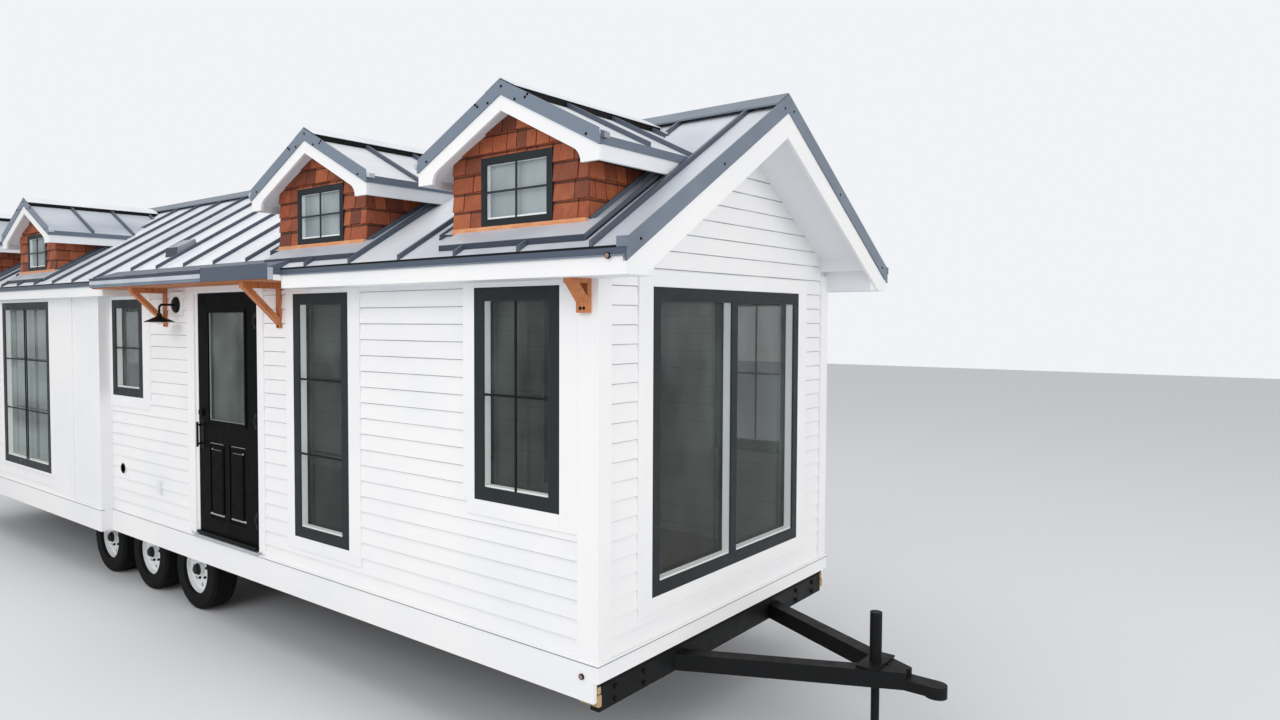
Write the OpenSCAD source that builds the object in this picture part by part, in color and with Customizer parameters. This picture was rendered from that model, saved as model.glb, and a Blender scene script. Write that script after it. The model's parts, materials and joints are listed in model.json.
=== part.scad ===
// Tiny house on wheels: gabled house body on a three-axle trailer.
// +X runs along the house towards the hitch, the entry side faces -Y and
// +Z is up, with the ground at zero.

/* [House body] */
// Length of the house body over its end walls
house_len = 10150; // [9900:50:10600]
// Width of the house body over its long walls
house_w = 2900; // [2840:10:2960]
// Thickness of the outer walls
wall_t = 120; // [100:5:130]
// How far the bedroom bay stands proud of the entry wall
bay_out = 110; // [80:5:120]
// Distance from the middle of the house to the start of the bedroom bay
bay_start = 900; // [800:20:1000]
// Height of the header between the door's jamb and the wall plate
header_h = 106; // [98:2:114]

/* [Main roof] */
// Rise of the main roof for each unit of run
pitch = 0.5833; // [0.56:0.005:0.6]
// Height of the roof surface over the plate, at the outer face of a long wall
heel_h = 153.2; // [147.2:2:159.2]
// How far the eaves pass the long walls
eave_out = 270; // [250:10:290]
// How far the roof passes the end walls
gable_out = 376; // [340:4:400]
// Distance between the standing seams
seam_gap = 490; // [470:5:510]
// Height of a standing seam
seam_h = 30; // [22:1:34]

/* [Dormers] */
// Width of a dormer over its cheeks
dormer_w = 1000; // [960:10:1040]
// How far a dormer's ridge lies below the main ridge
dormer_drop = 74; // [68:2:84]
// Rise of the dormer roof for each unit of run
dormer_pitch = 0.525; // [0.51:0.005:0.54]
// How far the dormer eaves pass the cheeks
dormer_eave = 185; // [170:5:195]
// How far the dormer roof passes its front wall
dormer_rake = 140; // [120:5:150]
// Distance between the middles of two neighbouring dormers
dormer_gap = 1876; // [1840:4:1920]
// Distance from an end wall to the middle of its outer dormer
dormer_end = 547; // [537:5:577]

/* [Windows and door] */
// How far the tops of the windows lie below the wall plates
head_drop = 176; // [172:2:196]
// Width of the visible bars of a window frame
sash_w = 75; // [60:5:85]
// Width of the door slab
door_w = 914; // [890:2:930]
// Height of the door slab
door_h = 2032; // [2020:2:2040]
// Distance from the middle of the house to the middle of the door
door_x = 1267; // [1250:2:1290]

/* [Running gear] */
// Outer diameter of a tyre
tyre_d = 710; // [690:5:715]
// Room between the tyres and the floor of the house
tyre_room = 30; // [25:5:50]
// Width of a tyre
tyre_w = 225; // [205:5:235]
// Diameter of the wheel rim at its flange
rim_d = 430; // [410:5:440]
// Distance from one axle to the next
axle_gap = 890; // [860:5:910]
// Distance from the middle of the house to the middle axle
axle_x = 425; // [400:5:450]

/* [Hidden] */
$fn = 48;

// Gap in the joint between two boards of one node, and the clearance that
// keeps two touching slopes from overlapping by rounding
joint_gap = 0.3;
seat = 0.05;

// Half sizes of the body
hx = house_len / 2;
hy = house_w / 2;
iy = hy - wall_t;
ix = hx - wall_t;
bay_y = hy + bay_out;
bay_x = -bay_start;

// Heights that stack up from the ground
deck_z = tyre_d + tyre_room;
slab_z = deck_z + 40;
door_gap = 7;
jamb_t = 35;
jamb_z = slab_z + door_h + door_gap + jamb_t;
plate_z = jamb_z + header_h;
head_z = plate_z - head_drop;
ridge_z = plate_z + heel_h + pitch * hy;
dormer_ridge_z = ridge_z - dormer_drop;

// Roof build-up
sheet_t = 12;
rafter_h = 110;
roof_y = hy + eave_out;
roof_x = hx + gable_out;
fascia_t = 20;
soffit_z = plate_z - 146;
eave_metal_h = 50;
rake_metal_h = 80;
rake_board_h = 154;
seam_t = 20;
metal_t = 8;
ridge_w = 150;

// Floor and frame
deck_t = 140;
boards_t = 18;
floor_z = deck_z + boards_t;
skirt_drop = 210;
skirt_t = 30;
end_skirt_h = 95;
rail_w = 90;
rail_h = 150;
rail_top = deck_z - deck_t;
rail_z = rail_top - rail_h;

// Wheels
tyre_r = tyre_d / 2;
wheel_y = hy - wall_t - tyre_w / 2;
well_x = tyre_r + 45;
well_in = wheel_y - tyre_w / 2 - 20;
well_out = wheel_y + tyre_w / 2 + 15;
axles = [for (i = [1, 0, -1]) -axle_x + i * axle_gap];
rail_gap = 60;
rail_y = wheel_y - tyre_w / 2 - rail_gap - rail_w / 2;
spindle_r = 30;
run_fit = 0.05;
hub_r = 82;
disc_t = 12;

// Door
door_t = 44;
slab_y = -hy;
jamb_x = door_w / 2 + door_gap + jamb_t;
light_w = 560;
light_h = 900;
light_z = slab_z + door_h - 160 - light_h;

// Canopy over the door
canopy_out = 380;
canopy_top_z = plate_z;
canopy_low_z = canopy_top_z - 71;
canopy_back = hy + 130;
canopy_a = door_x - 1697;
canopy_b = door_x + 1237;
canopy_soffit_t = 12;

// Windows as [x from, x to, z from, z to], seen on the wall
near_sill = 780;
tall_sill = 245;
small_sill = 1126;
bed_sill = 210;
near_win = [hx - 911, hx - 250, deck_z + near_sill, head_z];
tall_win = [door_x + 995, door_x + 1655, deck_z + tall_sill, head_z];
small_win = [bay_x + 66, bay_x + 705, deck_z + small_sill, head_z];
bed_win = [bay_x - 2625, bay_x - 1235, deck_z + bed_sill, head_z];
end_win = [-950, 950, deck_z + tall_sill, head_z];
frame_d = 95;
frame_proud = 20;
glass_t = 10;
glass_in = 42;

// Dormers
dormer_outer = hx - dormer_end;
dormer_in = dormer_outer - dormer_gap;
dormer_xs = [-dormer_outer, -dormer_in, dormer_in, dormer_outer];
dormer_wall_t = 90;
dormer_y = -hy - 30;
dormer_face = dormer_y - dormer_rake;
dormer_slab_h = 78;
dormer_half = dormer_w / 2;
dormer_roof_half = dormer_half + dormer_eave;
dormer_seam_gap = 440;
dormer_sill = 36.3;
dormer_win_h = 400;
dormer_win_z = ridge_z + pitch * dormer_y + dormer_sill;
dormer_win = [-272, 272, dormer_win_z, dormer_win_z + dormer_win_h];
dormer_border = 40;
tail_z = dormer_ridge_z - 485;
tail_r = 90;
board_h = 86;
metal_h = 84;
fascia_low = tail_z;

function roof_at(y) = ridge_z - pitch * abs(y);
function dormer_at(x) = dormer_ridge_z - dormer_pitch * abs(x);

// A solid with its outline in Y and Z, drawn from x0 to x1
module along_x(x0, x1, pts) {
    translate([x0, 0, 0])
        rotate([90, 0, 90])
            linear_extrude(x1 - x0) polygon(pts);
}

// A solid with its outline in X and Z, drawn from y0 to y1
module along_y(y0, y1, pts) {
    translate([0, y1, 0])
        rotate([90, 0, 0])
            linear_extrude(y1 - y0) polygon(pts);
}

// A box given by its two corners
module span(a, b) {
    translate(a) cube([b[0] - a[0], b[1] - a[1], b[2] - a[2]]);
}

// A frame that fits an opening, in X and Z, from two stiles and two rails
module ring_xz(w, border, y0, y1) {
    for (x = [w[0], w[1] - border])
        span([x, y0, w[2]], [x + border, y1, w[3]]);
    for (z = [w[2], w[3] - border])
        span([w[0] + border + joint_gap, y0, z],
            [w[1] - border - joint_gap, y1, z + border]);
}

// An opening through a wall that faces Y
module hole_xz(w, y0, y1) {
    span([w[0], y0 - 1, w[2]], [w[1], y1 + 1, w[3]]);
}

// Glass that fills the ring of a window
module pane_xz(w, border, y0, y1) {
    span([w[0] + border, y0, w[2] + border],
        [w[1] - border, y1, w[3] - border]);
}

// A window that faces the entry side, with its outer face at wall_y
module front_frame(w, wall_y) {
    ring_xz(w, sash_w, wall_y - frame_proud, wall_y - frame_proud + frame_d);
}

module front_pane(w, wall_y) {
    pane_xz(w, sash_w, wall_y + glass_in, wall_y + glass_in + glass_t);
}

// Windows of the end walls, [y from, y to, z from, z to]
module end_frame(w, x_face, dir) {
    x0 = min(x_face + dir * frame_proud, x_face + dir * (frame_proud - frame_d));
    x1 = x0 + frame_d;
    mid = (w[0] + w[1]) / 2;
    rail = mid - sash_w / 2 - w[0] - sash_w - joint_gap;
    for (y = [w[0], mid - sash_w / 2, w[1] - sash_w])
        span([x0, y, w[2]], [x1, y + sash_w, w[3]]);
    for (y = [w[0] + sash_w, mid + sash_w / 2], z = [w[2], w[3] - sash_w])
        span([x0, y + joint_gap, z], [x1, y + rail, z + sash_w]);
}

module end_pane(w, x_face, dir) {
    x0 = min(x_face - dir * glass_in, x_face - dir * (glass_in + glass_t));
    mid = (w[0] + w[1]) / 2;
    for (side = [0, 1]) {
        ya = side == 0 ? w[0] + sash_w : mid + sash_w / 2;
        yb = side == 0 ? mid - sash_w / 2 : w[1] - sash_w;
        span([x0, ya, w[2] + sash_w], [x0 + glass_t, yb, w[3] - sash_w]);
    }
}

// Running gear

end_beam_w = 60;
flange_t = 14;
web_t = 20;
rail_x = hx - end_beam_w - joint_gap;
cross_y = rail_y - web_t / 2 - joint_gap;
cross_gap = 800;
cross_n = floor(rail_x / cross_gap);

module trailer_frame() {
    color("#1d1e20") {
        for (y = [-rail_y, rail_y]) {
            for (z = [rail_z, rail_top - flange_t])
                span([-rail_x, y - rail_w / 2, z], [rail_x, y + rail_w / 2, z + flange_t]);
            span([-rail_x, y - web_t / 2, rail_z + flange_t + seat],
                [rail_x, y + web_t / 2, rail_top - flange_t - seat]);
        }
        for (x = [-hx, hx - end_beam_w])
            span([x, -hy + 20, rail_z + 20], [x + end_beam_w, hy - 20, rail_top]);
        for (i = [-cross_n : cross_n - 1]) {
            x = (i + 0.5) * cross_gap;
            span([x - 25, -cross_y, rail_z + 60],
                [x + 25, cross_y, rail_top - flange_t - joint_gap]);
        }
    }
}

tongue_len = 1150;
tongue_bar = 100;
tongue_z = rail_z + 25;
tongue_y = 620;
coupler_w = 120;
coupler_l = 150;

module hitch_tongue() {
    color("#1d1e20") {
        for (s = [-1, 1])
            difference() {
                translate([hx, s * tongue_y, tongue_z])
                    rotate([0, 0, -s * atan(tongue_y / tongue_len)])
                        translate([-60, -tongue_bar / 2, 0])
                            cube([tongue_len + 200, tongue_bar, tongue_bar]);
                span([0, -hy, 0], [hx, hy, deck_z]);
                span([0, s > 0 ? -hy : 0, 0], [2 * hx, s > 0 ? 0 : hy, deck_z]);
                span([hx + tongue_len, -hy, 0], [2 * hx, hy, deck_z]);
            }
        span([hx + tongue_len - 40, -coupler_w / 2, tongue_z],
            [hx + tongue_len + coupler_l, coupler_w / 2, tongue_z + 60]);
        translate([hx + tongue_len + coupler_l, 0, tongue_z - 10])
            cylinder(h = 70, r = coupler_w / 2);
    }
}

jack_x = hx + tongue_len - 190;

module tongue_jack() {
    color("#2a2b2d") {
        translate([jack_x, 0, 0]) cylinder(h = 14, r = 90);
        translate([jack_x, 0, 14]) cylinder(h = tongue_z + 260, r = 24);
        translate([jack_x, 0, tongue_z + tongue_bar])
            cylinder(h = 300, r = 34);
        span([jack_x - 60, -150, tongue_z + tongue_bar],
            [jack_x + 60, 150, tongue_z + tongue_bar + 12]);
    }
}

// Axle tube, brake drum, spindle and leaf spring, each its own solid
tube_r = 38;
drum_r = 120;
drum_in = wheel_y - 100;
drum_out = wheel_y - 40;
spindle_out = wheel_y + 73;
leaf_z = tyre_r + tube_r + seat;
leaf_top = leaf_z + 28;

// A round bar along Y at an axle, from y0 to y1
module axle_bar(x, y0, y1, r) {
    translate([x, y0, tyre_r])
        rotate([-90, 0, 0]) cylinder(h = y1 - y0, r = r);
}

module suspension() {
    color("#232426")
        for (x = axles) {
            axle_bar(x, -drum_in + seat, drum_in - seat, tube_r);
            both_sides() {
                axle_bar(x, drum_in, drum_out, drum_r);
                axle_bar(x, drum_out + seat, spindle_out, spindle_r);
                span([x - 360, rail_y - 30, leaf_z], [x + 360, rail_y + 30, leaf_top]);
                for (t = [-1, 1])
                    span([x + t * 345 - 15, rail_y - 30, leaf_top + seat],
                        [x + t * 345 + 15, rail_y + 30, rail_z]);
            }
        }
}

module both_sides() {
    children();
    mirror([0, 1, 0]) children();
}

// Bead seat, disc and hub of a wheel
seat_r = rim_d / 2 - 8;
rim_half = 80;
barrel_t = 6;
lip_t = 8;
disc_z = 33;
hub_bore = spindle_r + run_fit;
hub_t = 24;

// A tyre about the Y axis, with round shoulders and open in the middle
module tyre() {
    sh = 34;
    half = tyre_w / 2;
    rotate([90, 0, 0])
        rotate_extrude($fn = 72) {
            translate([seat_r, -rim_half + lip_t])
                square([40, 2 * (rim_half - lip_t)]);
            translate([seat_r + 10, -half])
                square([tyre_r - sh - seat_r - 10, tyre_w]);
            translate([tyre_r - sh - 1, -half + sh])
                square([sh + 1, tyre_w - 2 * sh]);
            for (s = [-1, 1])
                translate([tyre_r - sh, s * (half - sh)]) circle(r = sh);
        }
}

// A steel wheel about the Y axis: barrel with two lips, disc with round hand
// holes, and hub, its face to -Y
module rim() {
    in_r = seat_r - barrel_t;
    rotate([90, 0, 0])
        rotate_extrude($fn = 72) {
            translate([in_r, -rim_half]) square([barrel_t, 2 * rim_half]);
            for (z = [-rim_half, rim_half - lip_t])
                translate([in_r, z]) square([barrel_t + lip_t, lip_t]);
        }
    rotate([90, 0, 0])
        rotate_extrude($fn = 72)
            translate([hub_bore, disc_z - 30]) square([hub_t, 82]);
    difference() {
        rotate([90, 0, 0])
            rotate_extrude($fn = 72)
                translate([hub_bore + hub_t + seat, disc_z])
                    square([in_r - hub_bore - hub_t - 2 * seat, disc_t]);
        for (a = [0 : 45 : 315])
            rotate([0, a, 0])
                translate([148, 0, 0])
                    rotate([90, 0, 0])
                        translate([0, 0, disc_z - 5]) cylinder(h = 30, r = 17);
    }
}

module at_wheel(i, side) {
    translate([axles[i], side * wheel_y, tyre_r])
        mirror([0, side > 0 ? 1 : 0, 0]) children();
}

module front_near_tyre() { color("#17181a") at_wheel(0, -1) tyre(); }
module front_mid_tyre() { color("#17181a") at_wheel(1, -1) tyre(); }
module front_far_tyre() { color("#17181a") at_wheel(2, -1) tyre(); }
module back_near_tyre() { color("#17181a") at_wheel(0, 1) tyre(); }
module back_mid_tyre() { color("#17181a") at_wheel(1, 1) tyre(); }
module back_far_tyre() { color("#17181a") at_wheel(2, 1) tyre(); }
module front_near_rim() { color("#e4e5e4") at_wheel(0, -1) rim(); }
module front_mid_rim() { color("#e4e5e4") at_wheel(1, -1) rim(); }
module front_far_rim() { color("#e4e5e4") at_wheel(2, -1) rim(); }
module back_near_rim() { color("#e4e5e4") at_wheel(0, 1) rim(); }
module back_mid_rim() { color("#e4e5e4") at_wheel(1, 1) rim(); }
module back_far_rim() { color("#e4e5e4") at_wheel(2, 1) rim(); }

// Floor and walls

// The deck around the wheel wells, from boards along the house
module floor_deck() {
    well_a = axles[2] - well_x;
    well_b = axles[0] + well_x;
    g = joint_gap;
    color("#8f7d66") {
        span([-hx, g - well_in, rail_top], [hx, well_in - g, deck_z]);
        both_sides() {
            span([-hx, -hy, rail_top], [well_a, -well_in, deck_z]);
            span([well_b, -hy, rail_top], [hx, -well_in, deck_z]);
            span([well_a + g, -hy, rail_top], [well_b - g, -well_out, deck_z]);
        }
        span([-hx, -bay_y, rail_top], [bay_x, -hy - g, deck_z]);
    }
}

module floor_boards() {
    color("#7a4a35") {
        span([-ix, -iy, deck_z], [ix, iy, floor_z]);
        span([-ix, -bay_y + wall_t, deck_z],
            [bay_x - wall_t, -iy - joint_gap, floor_z]);
    }
}

module near_front_wall() {
    color("#eeeff0")
        difference() {
            span([door_x + jamb_x, -hy, deck_z], [hx, -iy, plate_z]);
            hole_xz(near_win, -hy, -iy);
            hole_xz(tall_win, -hy, -iy);
        }
}

module door_header_wall() {
    color("#eeeff0")
        span([door_x - jamb_x, -hy, jamb_z], [door_x + jamb_x, -iy, plate_z]);
}

module entry_side_wall() {
    color("#eeeff0")
        difference() {
            span([bay_x, -hy, deck_z], [door_x - jamb_x, -iy, plate_z]);
            hole_xz(small_win, -hy, -iy);
        }
}

module bedroom_front_wall() {
    color("#eeeff0")
        difference() {
            union() {
                span([-hx, -bay_y, deck_z], [bay_x, -bay_y + wall_t, plate_z]);
                span([bay_x - wall_t, -bay_y + wall_t + joint_gap, deck_z],
                    [bay_x, -iy, plate_z]);
            }
            hole_xz(bed_win, -bay_y, -bay_y + wall_t);
        }
}

module back_wall() {
    color("#eeeff0")
        difference() {
            span([-hx, iy, deck_z], [hx, hy, plate_z]);
            for (w = [near_win, tall_win, bed_win])
                hole_xz(w, iy, hy);
        }
}

// Outline of an end wall in Y and Z, with its front edge at y_front
function gable_outline(y_front) = [
    [y_front, deck_z], [iy, deck_z], [iy, under_deck(iy) - seat],
    [0, under_deck(0) - seat], [-iy, under_deck(iy) - seat], [-iy, plate_z],
    [y_front, plate_z]
];

// Height of the underside of the rafters
function under_deck(y) = roof_at(y) - sheet_t - rafter_h;

module end_hole(x0, x1) {
    span([x0 - 1, end_win[0], end_win[2]], [x1 + 1, end_win[1], end_win[3]]);
}

module near_end_wall() {
    color("#eeeff0")
        difference() {
            along_x(ix, hx, gable_outline(-iy));
            end_hole(ix, hx);
        }
}

module far_end_wall() {
    color("#eeeff0")
        difference() {
            along_x(-hx, -ix, gable_outline(-bay_y + wall_t));
            end_hole(-hx, -ix);
        }
}

module skirt_boards() {
    low = deck_z - skirt_drop;
    out = hy + skirt_t;
    bay = bay_y + skirt_t;
    end_x = hx + joint_gap;
    color("#f2f3f4") {
        span([bay_x + skirt_t + joint_gap, -out, low], [hx, -hy, deck_z]);
        span([bay_x + joint_gap, -bay, low], [bay_x + skirt_t, -hy, deck_z]);
        span([-hx, -bay, low], [bay_x, -bay_y, deck_z]);
        span([-hx, hy, low], [hx, out, deck_z]);
        span([end_x, -out, deck_z - end_skirt_h], [hx + skirt_t, out, deck_z]);
        span([-hx - skirt_t, -bay, deck_z - end_skirt_h], [-end_x, out, deck_z]);
    }
}

board_w = 120;
board_end_w = 100;
board_t = 20;

// Two boards around the corner at x, y, standing off to sx and sy, with the
// end wall's board over the edge of the long wall's board
module corner_pair(x, y, sx, sy) {
    translate([x, y, deck_z])
        mirror([sx > 0 ? 0 : 1, 0, 0])
            mirror([0, sy > 0 ? 0 : 1, 0]) {
                span([-board_w, 0, 0], [0, board_t, soffit_z - deck_z]);
                span([joint_gap, -board_end_w, 0],
                    [board_t, board_t, soffit_z - deck_z]);
            }
}

module corner_boards() {
    color("#f4f5f5") {
        corner_pair(hx, -hy, 1, -1);
        corner_pair(hx, hy, 1, 1);
        corner_pair(-hx, hy, -1, 1);
        corner_pair(-hx, -bay_y, -1, -1);
        span([bay_x - board_w, -bay_y - board_t, deck_z], [bay_x, -bay_y, soffit_z]);
        span([bay_x + joint_gap, -bay_y - board_t, deck_z],
            [bay_x + board_t, -hy, soffit_z]);
    }
}

// Main roof

eave_in = roof_y - fascia_t;
cheek_in = dormer_half - dormer_wall_t;
cheek_back = (ridge_z - dormer_at(cheek_in) + dormer_slab_h) / pitch;

ridge_cut = joint_gap / 2;

// Stretches of roof beside the dormers as [from, to], for dormers of a given
// half width on a roof that ends at plus and minus end
function beside_dormers(half, end) = [
    for (i = [0 : len(dormer_xs)]) [
        i == 0 ? -end : dormer_xs[i - 1] + half,
        i == len(dormer_xs) ? end : dormer_xs[i] - half
    ]
];

// A strip of the entry side's deck from ya out to yb, with the heights of its
// underside there
module deck_strip(x0, x1, ya, yb, low_a, low_b) {
    drop = sheet_t + seat;
    along_x(x0, x1, [
        [-ya, roof_at(ya) - drop], [-yb, roof_at(yb) - drop], [-yb, low_b],
        [-ya, low_a]
    ]);
}

deck_x = hx + gable_out - fascia_t;
hole_y = -dormer_y - dormer_wall_t;

// The entry side's rafters and boards, around the dormers, bay and canopy
module front_deck() {
    g = joint_gap;
    deck_strip(-deck_x, deck_x, ridge_cut, cheek_back, under_deck(ridge_cut),
        under_deck(cheek_back));
    for (r = beside_dormers(cheek_in, deck_x)) {
        deck_strip(r[0], r[1], cheek_back + g, iy, under_deck(cheek_back + g),
            under_deck(iy));
        deck_strip(r[0], r[1], iy + g, hole_y, plate_z, plate_z);
    }
    deck_strip(-deck_x, deck_x, hole_y + g, hy, plate_z, plate_z);
    deck_strip(-deck_x, -hx, hy + g, eave_in, soffit_z, soffit_z);
    deck_strip(-hx + g, bay_x, hy + g, bay_y, plate_z, plate_z);
    deck_strip(-hx + g, bay_x, bay_y + g, eave_in, soffit_z, soffit_z);
    deck_strip(bay_x + g, canopy_a, hy + g, eave_in, soffit_z, soffit_z);
    deck_strip(canopy_a + g, canopy_b, hy + g, eave_in, canopy_low_z, canopy_low_z);
    deck_strip(canopy_b + g, deck_x, hy + g, eave_in, soffit_z, soffit_z);
}

module roof_deck() {
    g = joint_gap;
    color("#f1f2f2") {
        front_deck();
        mirror([0, 1, 0]) {
            deck_strip(-deck_x, deck_x, ridge_cut, iy, under_deck(ridge_cut),
                under_deck(iy));
            deck_strip(-deck_x, deck_x, iy + g, hy, plate_z, plate_z);
            deck_strip(-deck_x, deck_x, hy + g, eave_in, soffit_z, soffit_z);
        }
    }
}

// A strip of sheet metal on the entry side, from ya out to yb
module sheet_strip(x0, x1, ya, yb) {
    along_x(x0, x1, [
        [-ya, roof_at(ya) - sheet_t], [-ya, roof_at(ya)], [-yb, roof_at(yb)],
        [-yb, roof_at(yb) - sheet_t]
    ]);
}

// A standing seam at x, from near the ridge down to y_low
module seam(x, y_low) {
    y_top = 40;
    along_x(x - seam_t / 2, x + seam_t / 2, [
        [-y_top, roof_at(y_top) + seat], [-y_top, roof_at(y_top) + seam_h],
        [-y_low, roof_at(y_low) + seam_h], [-y_low, roof_at(y_low) + seat]
    ]);
}

seam_first = 1805;
seam_count = floor((roof_x - 60 - seam_first) / seam_gap);
seam_back = floor((roof_x - 60 + seam_first) / seam_gap);
seams = [for (i = [-seam_back : seam_count]) seam_first + i * seam_gap];

// The space that a dormer's roof takes, with room around it
module dormer_envelope(x) {
    r = dormer_roof_half + 8;
    top = seam_h + 12;
    translate([x, 0, 0])
        along_y(dormer_face - 10, 0, [
            [-r, fascia_low - 10], [r, fascia_low - 10], [r, dormer_at(r) + top],
            [0, dormer_ridge_z + top], [-r, dormer_at(r) + top]
        ]);
}

module front_roof_panels() {
    color("#a9afb6") {
        sheet_strip(-roof_x, roof_x, 0, cheek_back);
        for (r = beside_dormers(dormer_half, roof_x))
            sheet_strip(r[0], r[1], cheek_back + joint_gap, -dormer_y);
        sheet_strip(-roof_x, roof_x, joint_gap - dormer_y, roof_y);
        difference() {
            for (x = seams)
                seam(x, x > canopy_a && x < canopy_b ? canopy_back : roof_y);
            for (x = dormer_xs) {
                dormer_envelope(x);
                span([x - dormer_half - 8, dormer_y - 22, 0],
                    [x + dormer_half + 8, -cheek_back, ridge_z + 100]);
            }
        }
    }
}

module back_roof_panels() {
    color("#a9afb6")
        mirror([0, 1, 0]) {
            sheet_strip(-roof_x, roof_x, 0, roof_y);
            for (x = seams)
                seam(x, roof_y);
        }
}

module ridge_cap() {
    low = seam_h + seat;
    top = seam_h + 12;
    color("#8b939d")
        both_sides()
            along_x(-roof_x, roof_x, [
                [ridge_cut, roof_at(ridge_cut) + low],
                [ridge_cut, roof_at(ridge_cut) + top],
                [ridge_w, roof_at(ridge_w) + top], [ridge_w, roof_at(ridge_w) + low]
            ]);
}

fascia_top = roof_at(roof_y) - 24;
rake_low = rake_metal_h + rake_board_h;
tail_in = (ridge_z - rake_low - soffit_z) / pitch;

module roof_fascia() {
    eave_end = roof_x - fascia_t - joint_gap;
    color("#f4f5f5") {
        for (r = [[-eave_end, canopy_a], [canopy_b, eave_end]])
            span([r[0], -roof_y, soffit_z], [r[1], -eave_in, fascia_top]);
        span([-eave_end, eave_in, soffit_z], [eave_end, roof_y, fascia_top]);
        both_sides()
            for (s = [-1, 1])
                along_x(s > 0 ? roof_x - fascia_t : -roof_x,
                    s > 0 ? roof_x : -roof_x + fascia_t, [
                        [ridge_cut, roof_at(ridge_cut) - rake_metal_h],
                        [ridge_cut, roof_at(ridge_cut) - rake_low],
                        [tail_in, soffit_z], [roof_y, soffit_z],
                        [roof_y, roof_at(roof_y) - rake_metal_h]
                    ]);
    }
}

module roof_edge_metal() {
    z1 = roof_at(roof_y);
    eave_end = roof_x - joint_gap;
    y_out = roof_y + metal_t;
    color("#5f6a78") {
        for (r = [[-eave_end, canopy_a], [canopy_b, eave_end]])
            span([r[0], -y_out, z1 - eave_metal_h], [r[1], -roof_y, z1]);
        span([-eave_end, roof_y, z1 - eave_metal_h], [eave_end, y_out, z1]);
        both_sides()
            for (s = [-1, 1])
                along_x(s > 0 ? roof_x : -roof_x - metal_t,
                    s > 0 ? roof_x + metal_t : -roof_x, [
                        [ridge_cut, roof_at(ridge_cut) + seam_h],
                        [ridge_cut, roof_at(ridge_cut) - rake_metal_h],
                        [y_out, z1 - rake_metal_h], [y_out, z1 + seam_h]
                    ]);
    }
}

// Dormers

// A copy of the children at each dormer
module each_dormer() {
    for (x = dormer_xs)
        translate([x, 0, 0]) children();
}

// All that lies under the main roof surface, lowered by drop
module under_roof(drop) {
    along_x(-dormer_roof_half - 100, dormer_roof_half + 100, [
        [0, 0], [0, ridge_z - drop],
        [-2 * hy, ridge_z - drop - pitch * 2 * hy], [-2 * hy, 0]
    ]);
}

// Half of a gable band in X and Z, from a plumb cut at the dormer's ridge:
// half width, and depths under the roof surface
function half_band(half, up, low) = [
    [ridge_cut, dormer_at(ridge_cut) - up], [half, dormer_at(half) - up],
    [half, dormer_at(half) - low], [ridge_cut, dormer_at(ridge_cut) - low]
];

// The children and their mirror image across the dormer's middle
module both_halves() {
    children();
    mirror([1, 0, 0]) children();
}

slab_low = sheet_t + dormer_slab_h;

// The space under a dormer's roof slab, from y0 to y1
module dormer_prism(y0, y1) {
    low = slab_low + seat;
    along_y(y0, y1, [
        [-dormer_half, plate_z], [dormer_half, plate_z],
        [dormer_half, dormer_at(dormer_half) - low], [0, dormer_ridge_z - low],
        [-dormer_half, dormer_at(dormer_half) - low]
    ]);
}

// Parts of the front wall beside, under and over its window, as
// [x from, x to, z from, z to]
dormer_parts = [
    [-dormer_half, dormer_win[0], plate_z, dormer_ridge_z],
    [dormer_win[1], dormer_half, plate_z, dormer_ridge_z],
    [dormer_win[0] + joint_gap, dormer_win[1] - joint_gap, plate_z, dormer_win[2]],
    [dormer_win[0] + joint_gap, dormer_win[1] - joint_gap, dormer_win[3],
        dormer_ridge_z]
];

module dormer_walls() {
    in_half = dormer_half - dormer_wall_t;
    y_in = dormer_y + dormer_wall_t;
    color("#b5602f")
        each_dormer() {
            for (w = dormer_parts)
                difference() {
                    intersection() {
                        dormer_prism(dormer_y, y_in);
                        span([w[0], dormer_y, w[2]], [w[1], y_in, w[3]]);
                    }
                    under_roof(sheet_t);
                }
            difference() {
                dormer_prism(y_in + joint_gap, -cheek_back + 60);
                span([-in_half, y_in, 0], [in_half, 0, ridge_z]);
                under_roof(sheet_t);
            }
            span([-dormer_half, dormer_y - 14, roof_at(dormer_y) + seat],
                [dormer_half, dormer_y - seat, dormer_win[2]]);
        }
}

soffit_x = dormer_roof_half - 20;

module dormer_soffits() {
    color("#f2f3f3")
        each_dormer()
            both_halves()
                difference() {
                    union() {
                        along_y(dormer_face + 20, 0,
                            half_band(soffit_x, sheet_t + seat, slab_low));
                        span([soffit_x + joint_gap, dormer_face + 20, fascia_low],
                            [dormer_roof_half, 0,
                                dormer_at(dormer_roof_half) - sheet_t - 4]);
                    }
                    under_roof(-seat);
                }
}

dormer_seams = [for (i = [1 : 3]) dormer_face + i * dormer_seam_gap];
dormer_cap_w = 90;

module dormer_roof_panels() {
    color("#a9afb6")
        each_dormer()
            both_halves() difference() {
                union() {
                    along_y(dormer_face + metal_t, 0,
                        half_band(dormer_roof_half, 0, sheet_t));
                    for (y = dormer_seams)
                        along_y(y, y + seam_t,
                            half_band(dormer_roof_half, -seam_h, -seat));
                    along_y(dormer_face + metal_t, -ridge_w - 20,
                        half_band(dormer_cap_w, -seam_h - 10, -seam_h - joint_gap));
                }
                under_roof(-seat);
            }
}

// Centre and tangent point of the round cut at the tail of a rake board
board_up = metal_h - 35;
board_low = board_up + board_h;
tail_slope = sqrt(1 + dormer_pitch * dormer_pitch);
tail_cx = (dormer_ridge_z - board_low - tail_z - tail_r * tail_slope) / dormer_pitch;
tail_tx = tail_cx + tail_r * dormer_pitch / tail_slope;
tail_tz = tail_z + tail_r / tail_slope;

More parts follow.
